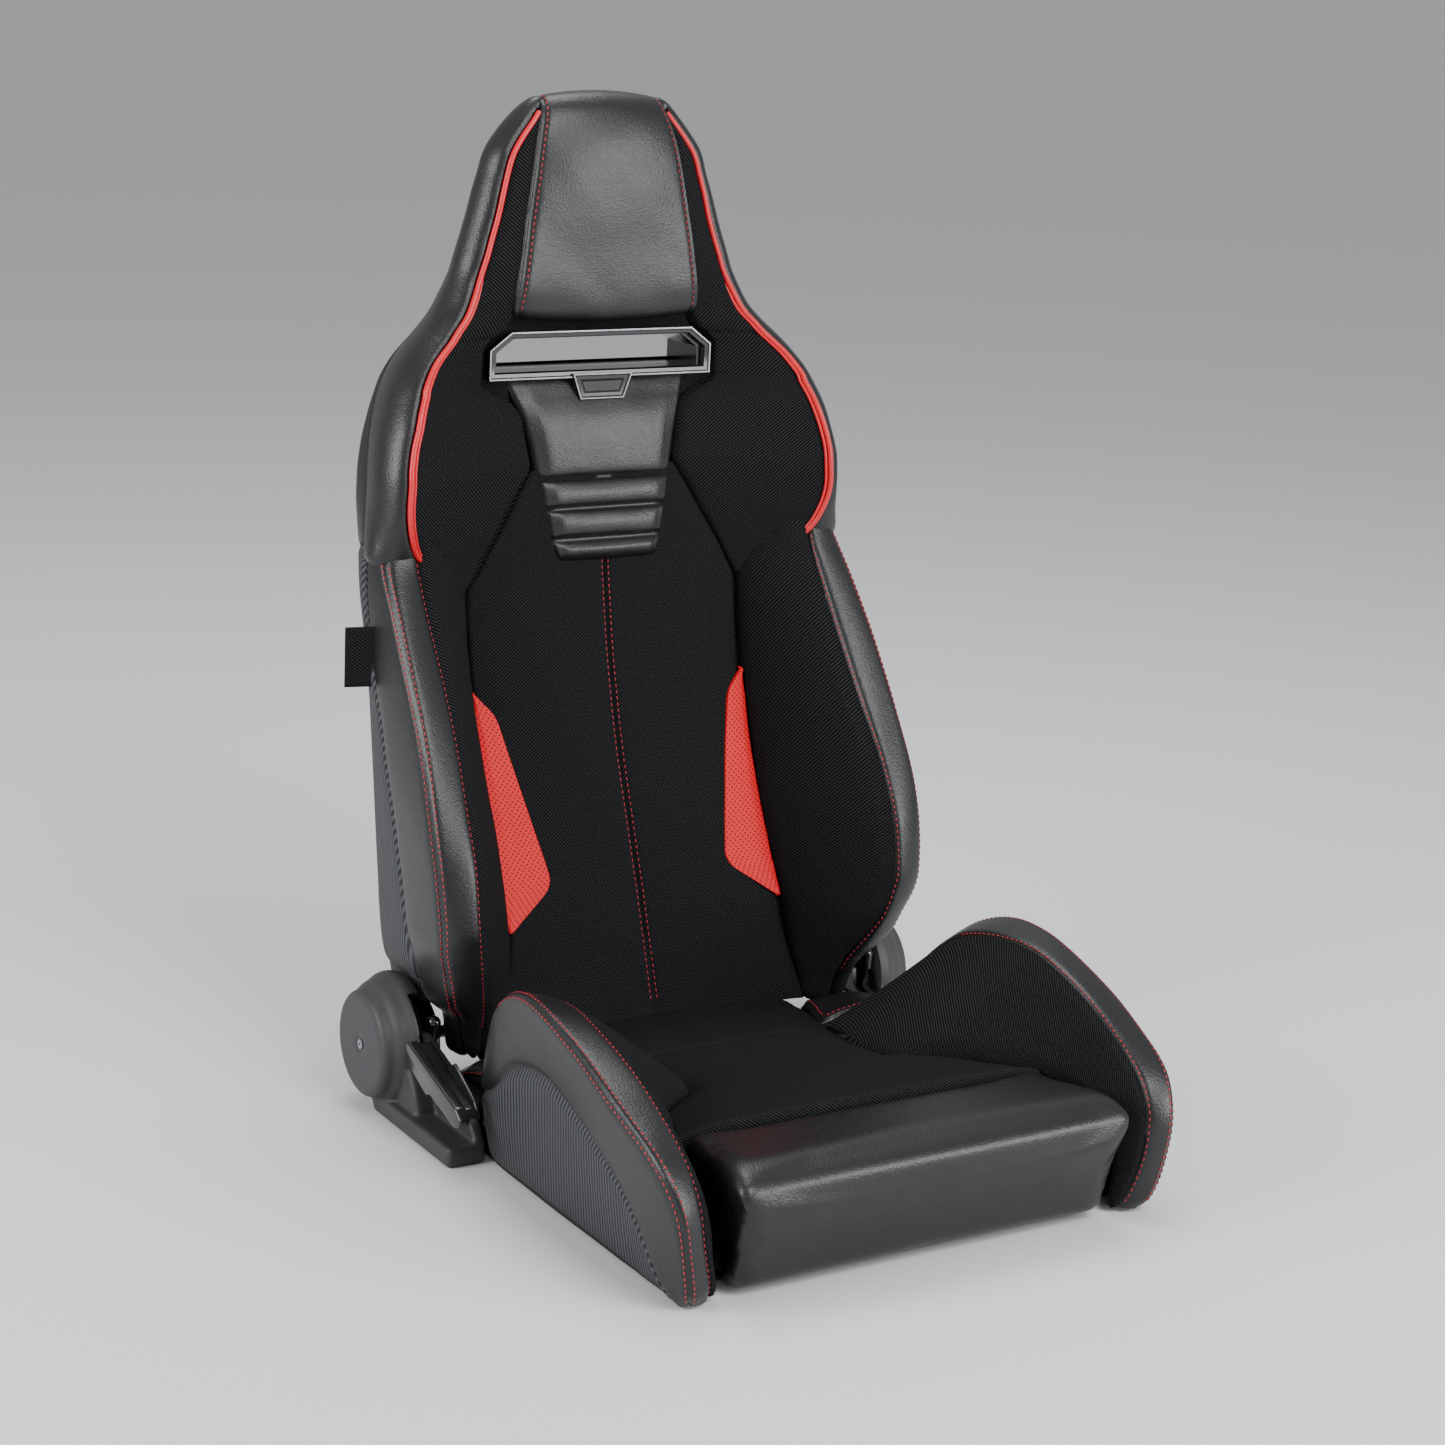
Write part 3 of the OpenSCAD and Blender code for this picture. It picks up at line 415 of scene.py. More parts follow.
# ribs stand nearly upright on the sides and slant a little forward towards the top
run = add(tree, "ShaderNodeVectorMath", {0: place, 1: (0.9, 1.0, 0.22)}, operation="DOT_PRODUCT")
phase = add(tree, "ShaderNodeMath", {0: run.outputs["Value"], 1: math.tau * 1000 / rib_pitch},
    operation="MULTIPLY")
wave = add(tree, "ShaderNodeMath", {0: phase.outputs["Value"]}, operation="SINE")
rib = add(tree, "ShaderNodeMapRange", {"Value": wave.outputs["Value"], "From Min": -1.0, "From Max": 1.0})
# painted highlight and shade: each rib's crest is lighter and its groove darker, in the base colour
tone = add(tree, "ShaderNodeMix",
    {"Factor": rib.outputs["Result"], "A": linear("#08090a"), "B": linear("#4a4c4f")}, data_type="RGBA")
tree.links.new(tone.outputs["Result"], shader.inputs["Base Color"])
relief = add(tree, "ShaderNodeBump", {"Height": rib.outputs["Result"], "Strength": 0.9, "Distance": 0.0012})
tree.links.new(relief.outputs["Normal"], shader.inputs["Normal"])

# ---------------------------------------------------------------------------------------------
# Thread: bonded red nylon in a lockstitch, stitches about 4.5 mm long that lie in a shallow
# dent. A row is many short fat threads, each bedded in the cover.
# ---------------------------------------------------------------------------------------------
thread, tree, shader = material("bonded red nylon thread", Roughness=0.5, Base_Color=linear("#a3202c"))
place = add(tree, "ShaderNodeTexCoord").outputs["Object"]
twist = add(tree, "ShaderNodeTexNoise", {"Vector": place, "Scale": 900.0, "Detail": 1.0})
relief = add(tree, "ShaderNodeBump", {"Height": twist.outputs["Fac"], "Strength": 0.4, "Distance": 0.0003})
tree.links.new(relief.outputs["Normal"], shader.inputs["Normal"])
stitch_length, stitch_gap = 4.4, 1.8
stitch_half_width, stitch_half_height, stitch_lift = 0.75, 0.6, 0.25


def spline(points, at):
    """A smooth line through rows of points, at fractional row numbers."""
    points = np.asarray(points, float)
    slope = np.gradient(points, axis=0)
    i = np.clip(np.floor(at).astype(int), 0, len(points) - 2)
    s = (at - i).reshape((-1,) + (1,) * (points.ndim - 1))
    return ((2 * s**3 - 3 * s**2 + 1) * points[i] + (s**3 - 2 * s**2 + s) * slope[i]
            + (3 * s**2 - 2 * s**3) * points[i + 1] + (s**3 - s**2) * slope[i + 1])


def straight(points, at):
    """Straight stretches between rows of points, at fractional row numbers."""
    points = np.asarray(points, float)
    i = np.clip(np.floor(at).astype(int), 0, len(points) - 2)
    s = (at - i).reshape((-1,) + (1,) * (points.ndim - 1))
    return points[i] * (1 - s) + points[i + 1] * s


def sewing(name, points, normals, body):
    """A row of stitches along points in millimetres on a cover, each on its normal."""
    step = np.linalg.norm(np.diff(points, axis=0), axis=1)
    run = np.concatenate([[0], np.cumsum(step)])
    bm = bmesh.new()
    at = stitch_gap
    while at + stitch_length < run[-1]:
        ends = [Vector([np.interp(at + d, run, points[:, c]) for c in range(3)]) for d in (0, stitch_length)]
        up = Vector([np.interp(at + stitch_length / 2, run, normals[:, c]) for c in range(3)]).normalized()
        along = (ends[1] - ends[0]).normalized()
        cross = up.cross(along).normalized()
        turn = Matrix((along, cross, up)).transposed().to_4x4()
        middle = (ends[0] + ends[1]) / 2 + up * stitch_lift
        bmesh.ops.create_icosphere(
            bm, subdivisions=1, radius=MM,
            matrix=Matrix.Translation(middle * MM) @ turn @ Matrix.Diagonal((stitch_length / 2,
            stitch_half_width, stitch_half_height, 1)),
        )
        at += stitch_length + stitch_gap
    made = finished(name, bm, [thread], 60)
    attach(made, body)
    return made


def ripple(at):
    """Soft unevenness of a cover pulled over foam, between about -1 and 1."""
    x, y, z = at[..., 0], at[..., 1], at[..., 2]
    return (np.sin(x / 17 + 2 * np.sin(z / 41)) * np.sin(z / 23 + y / 31)
            + 0.5 * np.sin(x / 9 - y / 13 + z / 11) * np.sin(z / 37)) / 1.5


class Cover:
    """A sewn cover: a sheet through rows of points, puffed between its seams and drawn in at them."""

    def __init__(self, name, rows, core, looks, zones, columns=8, lines=5, seams=(), crown=None,
        cross_seams=(),
                 depth=2.2, width=3.2, slack=0.35, curved=False, skip=None, wall=2.0, turn_uv=0.0):
        rows = np.asarray(rows, float)
        count, stations = rows.shape[:2]
        u = np.linspace(0, stations - 1, (stations - 1) * columns + 1)
        v = np.linspace(0, count - 1, (count - 1) * lines + 1)
        skin = np.swapaxes(spline(rows, v), 0, 1)
        skin = np.swapaxes(spline(skin, u) if curved else straight(skin, u), 0, 1)
        self.columns, self.lines = columns, lines
        self.measure(skin)
        facing = np.einsum("ijk,ijk->ij", self.normal, skin - np.asarray(core, float))
        if np.mean(facing) < 0:
            self.normal = -self.normal
        lift = np.zeros(skin.shape[:2])
        edges = sorted(seams)
        for k, (a, b) in enumerate(zip(edges, edges[1:])):
            height = crown[k] if crown else 0.0
            start, end = self.across[:, [int(a * columns)]], self.across[:, [int(b * columns)]]
            part = np.clip((self.across - start) / np.maximum(end - start, 1e-6), 0, 1)
            lift += height * np.sqrt(np.clip(4 * part * (1 - part), 0,
                1)) * ((self.across >= start) & (self.across <= end))
        for seam in edges:
            gap = self.across - self.across[:, [int(seam * columns)]]
            lift -= depth * np.exp(-(gap / width) ** 2)
        for seam in cross_seams:
            gap = self.along - self.along[[int(seam * lines)], :]
            lift -= depth * np.exp(-(gap / width) ** 2)
        skin = skin + self.normal * (lift + slack * ripple(skin))[..., None]
        outward = self.normal
        self.measure(skin)
        if np.mean(np.einsum("ijk,ijk->ij", self.normal, outward)) < 0:
            self.normal = -self.normal
            flipped = True
        else:
            flipped = False
        self.skin = skin
        bm = bmesh.new()
        across_count, along_count = len(u) - 1, len(v) - 1
        bmesh.ops.create_grid(bm, x_segments=across_count, y_segments=along_count, size=0.5)
        place = {}
        for vert in bm.verts:
            place[vert] = (round((vert.co.y + 0.5) * along_count), round((vert.co.x + 0.5) * across_count))
        uv = bm.loops.layers.uv.new("cloth")
        turn = math.radians(turn_uv)
        for face in bm.faces:
            spots = [place[loop.vert] for loop in face.loops]
            face.material_index = zones[min(min(s[1] for s in spots) // columns, len(zones) - 1)]
            for loop, (j, i) in zip(face.loops, spots):
                a, b = self.across[j, i] * MM, self.along[j, i] * MM
                loop[uv].uv = (a * math.cos(turn) - b * math.sin(turn),
                    a * math.sin(turn) + b * math.cos(turn))
        for vert, spot in place.items():
            vert.co = Vector(skin[spot]) * MM
        if flipped:
            bmesh.ops.reverse_faces(bm, faces=bm.faces)
        if skip:
            gone = [f for f in bm.faces if skip(f.calc_center_median() / MM)]
            bmesh.ops.delete(bm, geom=gone, context="FACES")
        self.piece = finished(name, bm, looks, 80)
        if wall:
            back = self.piece.modifiers.new("wall", "SOLIDIFY")
            back.thickness = wall * MM
            back.offset = -1.0

    def measure(self, skin):
        """Lengths in millimetres across and along the sheet, and its normals."""
        step = np.linalg.norm(np.diff(skin, axis=1), axis=2)
        self.across = np.concatenate([np.zeros((len(skin), 1)), np.cumsum(step, axis=1)], axis=1)
        middle = self.across[:, [self.across.shape[1] // 2]]
        self.across = self.across - middle
        step = np.linalg.norm(np.diff(skin, axis=0), axis=2).mean(axis=1)
        self.along = np.concatenate([[0], np.cumsum(step)])[:, None] * np.ones((1, skin.shape[1]))
        normal = np.cross(np.gradient(skin, axis=1), np.gradient(skin, axis=0))
        self.normal = normal / np.maximum(np.linalg.norm(normal, axis=2, keepdims=True), 1e-9)

    def beside(self, station, offset, start=0.0, end=1.0):
        """Points and normals along the sheet, offset millimetres across from a station."""
        points, normals = [], []
        first, last = int(start * (len(self.skin) - 1)), int(end * (len(self.skin) - 1))
        for j in range(first, last + 1):
            at = self.across[j, int(station * self.columns)] + offset
            points.append([np.interp(at, self.across[j], self.skin[j, :, c]) for c in range(3)])
            normals.append([np.interp(at, self.across[j], self.normal[j, :, c]) for c in range(3)])
        return np.array(points), np.array(normals)

    def crosswise(self, row, offset, start=0.0, end=1.0):
        """Points and normals across the sheet, offset millimetres along from a row."""
        at = self.along[int(row * self.lines), 0] + offset
        j = np.interp(at, self.along[:, 0], np.arange(len(self.along)))
        first, last = int(start * (self.skin.shape[1] - 1)), int(end * (self.skin.shape[1] - 1))
        lower, part = int(j), j - int(j)
        upper = min(lower + 1, len(self.skin) - 1)
        points = self.skin[lower] * (1 - part) + self.skin[upper] * part
        normals = self.normal[lower] * (1 - part) + self.normal[upper] * part
        return points[first:last + 1], normals[first:last + 1]


def mirrored(rows, side):
    """Rows for the sitter's left, or their mirror image."""
    rows = np.array(rows, float)
    rows[..., 0] *= side
    return rows


# ---------------------------------------------------------------------------------------------
# Cushion bolsters: a hard foam wing on each side, in four pieces of cover. Cloth faces the
# sitter, a leatherette strip rides the ridge, leatherette and ribbed vinyl cover the side.
# ---------------------------------------------------------------------------------------------
# From rear to front: root, inner seam, outer seam, arch over the ribbed panel, bottom edge
SPOKES = [
    [(122, 86, 66), (190, 87, 76), (240, 88, 82), (246, 86, 66), (243, 70, 6)],
    [(121, 76, 76), (202, 76, 98), (246, 77, 117), (251, 68, 74), (243, 62, 3)],
    [(117, 60, 81), (212, 62, 124), (251, 62, 143), (255, 52, 82), (243, 52, 2)],
    [(112, 36, 84), (220, 40, 150), (258, 40, 168), (258, 32, 96), (244, 32, 2)],
    [(106, 8, 88), (223, 10, 174), (264, 6, 190), (259, 12, 114), (244, 4, 2)],
    [(104, -24, 92), (226, -24, 187), (270, -34, 201), (259, -12, 125), (244, -30, 2)],
    [(113, -62, 97), (232, -62, 193), (273, -72, 200), (259, -48, 131), (244, -66, 2)],
    [(158, -100, 102), (236, -100, 192), (274, -106, 193), (259, -88, 124), (244, -104, 2)],
    [(178, -142, 106), (236, -142, 183), (274, -141, 183), (259, -126, 112), (244, -140, 2)],
    [(197, -178, 107), (236, -180, 171), (274, -182, 168), (259, -160, 98), (244, -172, 2)],
    [(209, -208, 100), (236, -212, 156), (272, -220, 152), (258, -188, 82), (243, -198, 2)],
    [(211, -238, 88), (236, -242, 139), (269, -254, 136), (257, -210, 64), (243, -218, 2)],
    [(212, -254, 74), (235, -266, 120), (265, -276, 118), (255, -226, 44), (242, -234, 2)],
    [(212, -262, 56), (233, -281, 95), (259, -290, 90), (252, -238, 25), (242, -246, 2)],
    [(211, -264, 36), (229, -284, 60), (252, -291, 52), (248, -248, 12), (241, -256, 2)],
    [(208, -264, 18), (220, -280, 24), (244, -286, 18), (246, -256, 8), (241, -262, 2)],
    [(208, -264, 8), (216, -272, 6), (238, -276, 4), (243, -262, 4), (240, -264, 2)],
]
for side_name, side in (("left", 1), ("right", -1)):
    rows = []
    for root, inner, outer, arch, bottom in SPOKES:
        under = (236, bottom[1], 3)
        tucked = (root[0] + 8, root[1], max(root[2] - 16, 5))
        rows.append([tucked, root, inner, outer, arch, bottom, under])
    bolster = Cover(
        "cushion_bolster_cover_" + side_name, mirrored(rows, side), (side * 215, -90, 60),
        [twill, leatherette, ribbed],
        [0, 0, 1, 1, 2, 2], columns=12, lines=7, seams=(1, 2, 3, 4, 5), crown=(3, 2.5, 3, 1.5), turn_uv=90,
    )
    settled(bolster.piece, "base", "cushion_bolster_" + side_name)
    for row_name, station, offset, start in (
        ("inner", 2, 3.2, 0.26), ("outer_front", 3, -4.2, 0.2), ("outer_back", 3, 4.2, 0.2),
    ):
        row = sewing(f"cushion_stitches_{row_name}_{side_name}",
            *bolster.beside(station, offset, start, 0.985), "base")

# ---------------------------------------------------------------------------------------------
# Cushion corners: a low leatherette corner behind each bolster, under the backrest, sewn to
# the cloth along its inner and front edges and hemmed along its outer edge.
# ---------------------------------------------------------------------------------------------
# y, inner edge (x, z), middle height, outer height
CORNER = [[81, 123, 72, 76, 70], [84, 125, 78, 85, 85], [105, 132, 78, 83, 77], [128, 139, 78, 82, 71],
    [144, 143, 75, 75, 66],
          [152, 145, 67, 67, 61], [162, 147, 59, 59, 56], [166, 148, 53, 53, 52]]
for side_name, side in (("left", 1), ("right", -1)):
    rows = []
    for y, inner_x, inner_z, middle_z, outer_z in CORNER:
        rows.append([(inner_x - 1, y, inner_z - 12), (inner_x, y, inner_z), (164, y, middle_z),
            (194, y, middle_z - 1), (226, y, outer_z),
                     (230, y, outer_z - 8), (229, y, 50)])
    corner = Cover(
        "cushion_corner_" + side_name, mirrored(rows, side), (side * 185, 115, 40), [leatherette], [0],
        columns=6, lines=6, seams=(1, 5),
        crown=(3,), depth=1.2, width=2.4, curved=True,
    )
    settled(corner.piece, "base", "cushion_gusset_" + side_name)
    for row_name, path in (("inner", corner.beside(1, 4.0, 0.22, 0.95)),
        ("front", corner.crosswise(1, 4.5, 0.2, 0.8)),
                           ("hem", corner.beside(5, -4.0, 0.1, 0.95))):
        row = sewing(f"corner_stitches_{row_name}_{side_name}", *path, "base")

# ---------------------------------------------------------------------------------------------
# Soft middle pieces: the knee roll in leatherette and the cloth middle of the cushion. Each
# is foam under a cover that is pulled tight, so it swells between its edges like a pillow.
# ---------------------------------------------------------------------------------------------


def puffed(name, node, voxel, pressure, cap, look):
    """A copy of a CAD pad, swollen by air pressure under a cloth skin, within a cap in millimetres."""
    bm = bmesh.new()
    bm.from_mesh(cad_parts[node].data)
    bmesh.ops.remove_doubles(bm, verts=bm.verts, dist=1e-5)
    bmesh.ops.recalc_face_normals(bm, faces=bm.faces)
    made = finished(name, bm, [look], 80)
    skin = made.modifiers.new("skin", "REMESH")
    skin.mode = "VOXEL"
    skin.voxel_size = voxel * MM
    ease = made.modifiers.new("ease", "SMOOTH")
    ease.iterations = 6
    applied(made)
    before = np.array([v.co for v in made.data.vertices])
    cloth = made.modifiers.new("cloth", "CLOTH")
    cloth.settings.use_pressure = True
    cloth.settings.uniform_pressure_force = pressure
    cloth.settings.effector_weights.gravity = 0.0
    cloth.settings.tension_stiffness = 25.0
    cloth.settings.compression_stiffness = 25.0
    for tick in range(1, 21):
        bpy.context.scene.frame_set(tick)
    applied(made)
    bpy.context.scene.frame_set(1)
    moved = np.array([v.co for v in made.data.vertices]) - before
    length = np.maximum(np.linalg.norm(moved, axis=1, keepdims=True), 1e-9)
    after = before + moved * np.minimum(1.0, cap * MM / length)
    made.data.vertices.foreach_set("co", after.ravel())
    iron = made.modifiers.new("iron", "SMOOTH")
    iron.iterations = 4
    applied(made)
    made.data.update()
    made.data.shade_smooth()
    rounder = made.modifiers.new("round", "SUBSURF")
    rounder.levels = rounder.render_levels = 1
    return made


knee_roll = puffed("knee_roll", "nose_pad", 5.0, 3.0, 2.2, leatherette)
settled(knee_roll, "base", "nose_pad")

rows = []
for y in (196, 188, 160, 130, 90, 58, 30, 0, -30, -60, -95, -130, -160, -172, -176):
    half = float(np.interp(-y, [-190, -130, -80, -40, 24, 60, 99, 142, 176],
        [150, 142, 124, 114, 105, 114, 160, 178, 196]))
    top = 64 + 0.126 * (194 - y) - (12 if y in (196, -176) else 0)
    rows.append([(x * half, y, top - 7 * abs(x) ** 8 + 2 * x * x) for x in (-1.02, -0.97, -0.8, -0.5, -0.25,
        0, 0.25, 0.5, 0.8, 0.97, 1.02)])
seat_cloth = Cover(
    "cushion_centre", rows, (0, 0, 0), [twill], [0], columns=9, lines=8, seams=(0, 10), crown=(5,),
    cross_seams=(5,), depth=2.6,
    width=3.5, curved=True,
)
settled(seat_cloth.piece, "base", "cushion_foam")

# ---------------------------------------------------------------------------------------------
# Backrest bolsters: a long foam wing on each side. Cloth faces the sitter, a leatherette
# strip with a single seam inside and a double one outside rides the ridge, leatherette beyond.
# ---------------------------------------------------------------------------------------------
# height, root (x, y), inner seam (x, y), outer seam (x, y), side seam (x, y)
WING = [
    [69, 167, 192, 199, 180, 217, 182, 226, 204], [84, 166, 195, 200, 176, 221, 179, 228, 205],
    [96, 164, 198, 202, 170, 224, 175, 229, 205], [106, 162, 202, 204, 165, 228, 170, 231, 206],
    [113, 161, 205, 206, 161, 233, 166, 240, 207], [122, 160, 208, 209, 155, 241, 159, 247, 208],
    [138, 158, 212, 215, 145, 249, 149, 252, 208],
    [160, 156, 217, 222, 133, 256, 143, 257, 211],
    [185, 154, 228, 227, 127, 264, 136, 262, 216],
    [210, 152, 240, 230, 125, 266, 134, 263, 222],
    [260, 151, 264, 230, 135, 268, 143, 263, 238],
    [310, 153, 286, 229, 160, 267, 162, 263, 257],
    [365, 154, 307, 224, 196, 263, 190, 262, 279],
    [420, 155, 321, 221, 234, 260, 226, 261, 303],
    [475, 155, 329, 220, 273, 256, 267, 258, 324],
    [505, 170, 325, 219, 291, 253, 292, 255, 333],
    [522, 190, 317, 219, 298, 250, 305, 252, 338],
]
for side_name, side in (("left", 1), ("right", -1)):
    rows = []
    for k, shrink in ((61, 0.25), (62, 0.62), (65, 0.85)):
        z, *flat = WING[0]
        rows.append([(200 + shrink * (x - 200), 192 + shrink * (y - 192), k)
                     for x, y in [(flat[0], flat[1] + 14)] + list(zip(flat[::2],
                     flat[1::2])) + [(flat[6] - 12, flat[7] + 5)]])
    for z, *flat in WING:
        seams = list(zip(flat[::2], flat[1::2]))
        rows.append([(x, y, z) for x,
            y in [(seams[0][0] + 2, seams[0][1] + 14)] + seams + [(seams[-1][0] - 10, seams[-1][1] + 4)]])
    rows.append([(x + 0.05 * (225 - x), y + 5, 527) for x, y, z in rows[-1]])
    rows.append([(x + 0.12 * (225 - x), y + 14, 527) for x, y, z in rows[-1]])
    wing = Cover(
        "back_bolster_cover_" + side_name, mirrored(rows, side), (side * 215, 300, 300), [twill, leatherette],
        [0, 0, 1, 1, 1], columns=14, lines=7, seams=(1, 2, 3, 4), crown=(9, 5, 3),
    )
    settled(wing.piece, "back", "back_bolster_" + side_name)
    for row_name, station, offset in (("inner", 2, 3.2), ("outer_front", 3, -4.2), ("outer_back", 3, 4.2)):
        row = sewing(f"back_stitches_{row_name}_{side_name}",
            *wing.beside(station, offset, 0.3 if station == 3 else 0.22, 0.89), "back")

# ---------------------------------------------------------------------------------------------
# Middle of the backrest: one cloth panel with a double row of stitches down the centre. It
# narrows towards the shoulders, where slanting seams join it to the wings.
# ---------------------------------------------------------------------------------------------
# height, middle of the front, front at the seam, half width
PANEL = [
    [64, 188, 184, 172], [72, 193, 189, 172], [90, 200, 198, 171], [110, 207, 206, 167], [135, 216, 212, 159],
    [160, 225, 217, 155],
    [185, 234, 228, 153], [210, 244, 240, 151], [260, 263, 264, 150], [310, 282, 286, 152],
    [365, 299, 307, 153],
    [420, 313, 321, 154], [472, 323, 329, 154], [490, 326, 330, 144], [515, 329, 331, 129],
    [540, 332, 332, 113],
    [565, 335, 333, 98], [591, 338, 334, 82],
]


def panel_front(x, z):
    """Front of the middle panel, in millimetres, at a place across and a height."""
    table = np.array(PANEL, float)
    middle, edge = np.interp(z, table[:, 0], table[:, 1]), np.interp(z, table[:, 0], table[:, 2])
    return middle + (edge - middle) * (x / 155) ** 2


rows = []
for z, middle, edge, half in PANEL:
    row = []
    for part in (-1.02, -0.985, -0.9, -0.7, -0.45, -0.2, 0, 0.2, 0.45, 0.7, 0.9, 0.985, 1.02):
        roll = 9 if abs(part) > 1 else 0
        row.append((part * half, panel_front(part * half, z) + roll, z))
    rows.append(row)
back_cloth = Cover(
    "back_centre_panel", rows, (0, 600, 330), [twill], [0], columns=7, lines=6, seams=(1, 6, 11),
    crown=(5, 5), depth=2.4, curved=True,
)
settled(back_cloth.piece, "back", "back_foam")
for row_name, offset in (("left", 4.6), ("right", -4.6)):
    row = sewing("centre_stitches_" + row_name, *back_cloth.beside(6, offset, 0.09, 0.8), "back")

# ---------------------------------------------------------------------------------------------
# Red inserts: perforated leatherette let into the middle panel at the loins, with small
# punched holes in staggered rows 6 mm apart, each painted dark red as the shade inside it.
# ---------------------------------------------------------------------------------------------
hole_pitch = 6.0
perforated, tree, shader = material("perforated red leatherette", Specular_IOR_Level=0.2)
cut = add(tree, "ShaderNodeUVMap", uv_map="cloth").outputs["UV"]
holes = []
for shift in (0.0, 0.5):
    spread = add(tree, "ShaderNodeMapping",
        {"Vector": cut, "Location": (shift, shift, 0), "Scale": (1000 / hole_pitch,) * 3})
    cell = add(tree, "ShaderNodeVectorMath", {0: spread.outputs["Vector"]}, operation="FRACTION")
    centred = add(tree, "ShaderNodeVectorMath", {0: cell.outputs["Vector"], 1: (0.5, 0.5, 0)},
        operation="SUBTRACT")
    holes.append(add(tree, "ShaderNodeVectorMath", {0: centred.outputs["Vector"]},
        operation="LENGTH").outputs["Value"])
nearest = add(tree, "ShaderNodeMath", {0: holes[0], 1: holes[1]}, operation="MINIMUM")
rim = add(tree, "ShaderNodeMapRange", {"Value": nearest.outputs["Value"], "From Min": 0.1, "From Max": 0.17})
place = add(tree, "ShaderNodeTexCoord").outputs["Object"]
wear = add(tree, "ShaderNodeTexNoise", {"Vector": place, "Scale": 14.0, "Detail": 4.0})
red_tone = add(tree, "ShaderNodeMix",
    {"Factor": wear.outputs["Fac"], "A": linear("#d00c14"), "B": linear("#e21620")}, data_type="RGBA")
# painted shade: inside each hole the red is painted dark for the shade in the hole
tone = add(tree, "ShaderNodeMix",
    {"Factor": rim.outputs["Result"], "A": linear("#5c0c12"), "B": red_tone.outputs["Result"]},
    data_type="RGBA")
tree.links.new(tone.outputs["Result"], shader.inputs["Base Color"])
pebble = add(tree, "ShaderNodeTexVoronoi", {"Vector": place, "Scale": 560.0})
height = add(tree, "ShaderNodeMath", {0: rim.outputs["Result"], 1: 3.0, 2: pebble.outputs["Distance"]},
    operation="MULTIPLY_ADD")
relief = add(tree, "ShaderNodeBump",
    {"Height": height.outputs["Value"], "Strength": 0.35, "Distance": 0.0004})
tree.links.new(relief.outputs["Normal"], shader.inputs["Normal"])
shader.inputs["Roughness"].default_value = 0.5

# height, inner edge, outer edge, from the bottom
INSERT = [[166, 150, 154], [174, 138, 154], [184, 123, 153], [194, 108, 153], [199, 102.5, 152],
    [206, 99, 152], [216, 99.5, 152],
          [260, 109, 151], [310, 120, 151], [340, 127, 152], [352, 130, 153], [361, 134, 153],
          [370, 142, 153], [379, 151, 154]]
for side_name, side in (("left", 1), ("right", -1)):
    rows = []
    for z, inner, outer in INSERT:
        row = []
        for part, sink in ((0, 4.5), (0.03, 0.2), (0.2, 0), (0.5, 0), (0.8, 0), (1, 1.5)):
            x = inner + part * (outer - inner)
            row.append((x, panel_front(x, z) - 6.2 + sink, z))
        rows.append(row)
    rows.insert(0, [(x, y + 4.5, z - 1) for x, y, z in rows[0]])
    rows.append([(x, y + 4.5, z + 1) for x, y, z in rows[-1]])
    loin = Cover("red_insert_" + side_name, mirrored(rows, side), (side * 120, 600, 260), [perforated], [0],
        columns=7, lines=6, slack=0.2,
                 wall=1.2)
    settled(loin.piece, "back", "lumbar_insert_" + side_name)

# ---------------------------------------------------------------------------------------------
# Shoulder wings: cloth from the middle panel out to the piping, past the harness slot and on
# up beside the headrest, in two pieces with a seam level with the slot.
# ---------------------------------------------------------------------------------------------
# height, inner edge (x, y), piping (x, y)
SHOULDER = [
    [474, 153, 329, 158, 328], [490, 143, 330, 181, 318], [506, 134, 331, 203, 307],
    [524, 123, 331, 221, 298],
    [545, 110, 332, 230, 291], [567, 97, 333, 234, 287], [591, 82, 334, 233, 287], [606, 83, 336, 232, 289],
    [625, 86, 339, 228, 293], [643, 90, 342, 222, 297], [657, 101, 348, 217, 302], [670, 126, 352, 211, 308],
    [679, 127, 352, 208, 311], [696, 127, 351, 196, 320], [708, 126, 350, 184, 326],
    [717, 117, 350, 174, 330], [727, 104, 349, 165, 334],
    [740, 98, 347, 153, 339],
    [758, 97, 342, 143, 344], [776, 95, 340, 135, 349], [795, 92, 340, 128, 350], [813, 89, 342, 122, 352],
    [832, 85, 344, 116, 353], [852, 82, 346, 111, 354], [870, 79, 348, 106, 356], [889, 76, 351, 100, 357],
    [905, 73, 354, 90, 359], [921, 68, 358, 77, 361], [930, 65, 361, 70, 363],
]
# height, widest (x, y), side seam (x, y), rear corner (x, y), middle of the rear
FLANK = [
    [520, 252, 312, 252, 340, 240, 382, 395], [545, 249, 313, 248, 346, 240, 388, 399],
    [567, 247, 312, 244, 352, 240, 392, 402],
    [591, 246, 313, 240, 358, 238, 395, 404], [606, 244, 316, 237, 362, 236, 396, 406],
    [625, 240, 321, 233, 368, 232, 398, 408],
    [643, 235, 326, 228, 374, 226, 400, 409], [661, 228, 332, 221, 381, 219, 401, 410],
    [679, 219, 339, 212, 387, 211, 403, 411],
    [696, 206, 346, 200, 391, 199, 404, 412], [710, 193, 351, 187, 394, 186, 404, 412],
    [724, 178, 357, 173, 396, 172, 404, 412],
    [740, 164, 363, 159, 397, 158, 405, 413], [758, 154, 367, 148, 398, 147, 405, 413],
    [776, 146, 369, 139, 398, 138, 405, 413],
    [795, 140, 371, 132, 398, 131, 405, 413], [813, 134, 373, 126, 398, 125, 405, 412],
    [832, 128, 375, 120, 398, 119, 405, 412],
    [852, 122, 377, 114, 398, 113, 404, 411], [870, 116, 378, 108, 397, 107, 403, 410],
    [889, 110, 379, 102, 396, 101, 402, 408],
    [905, 99, 380, 92, 393, 91, 399, 405], [921, 85, 380, 80, 390, 79, 396, 402],
    [934, 70, 380, 68, 386, 67, 392, 397],
]
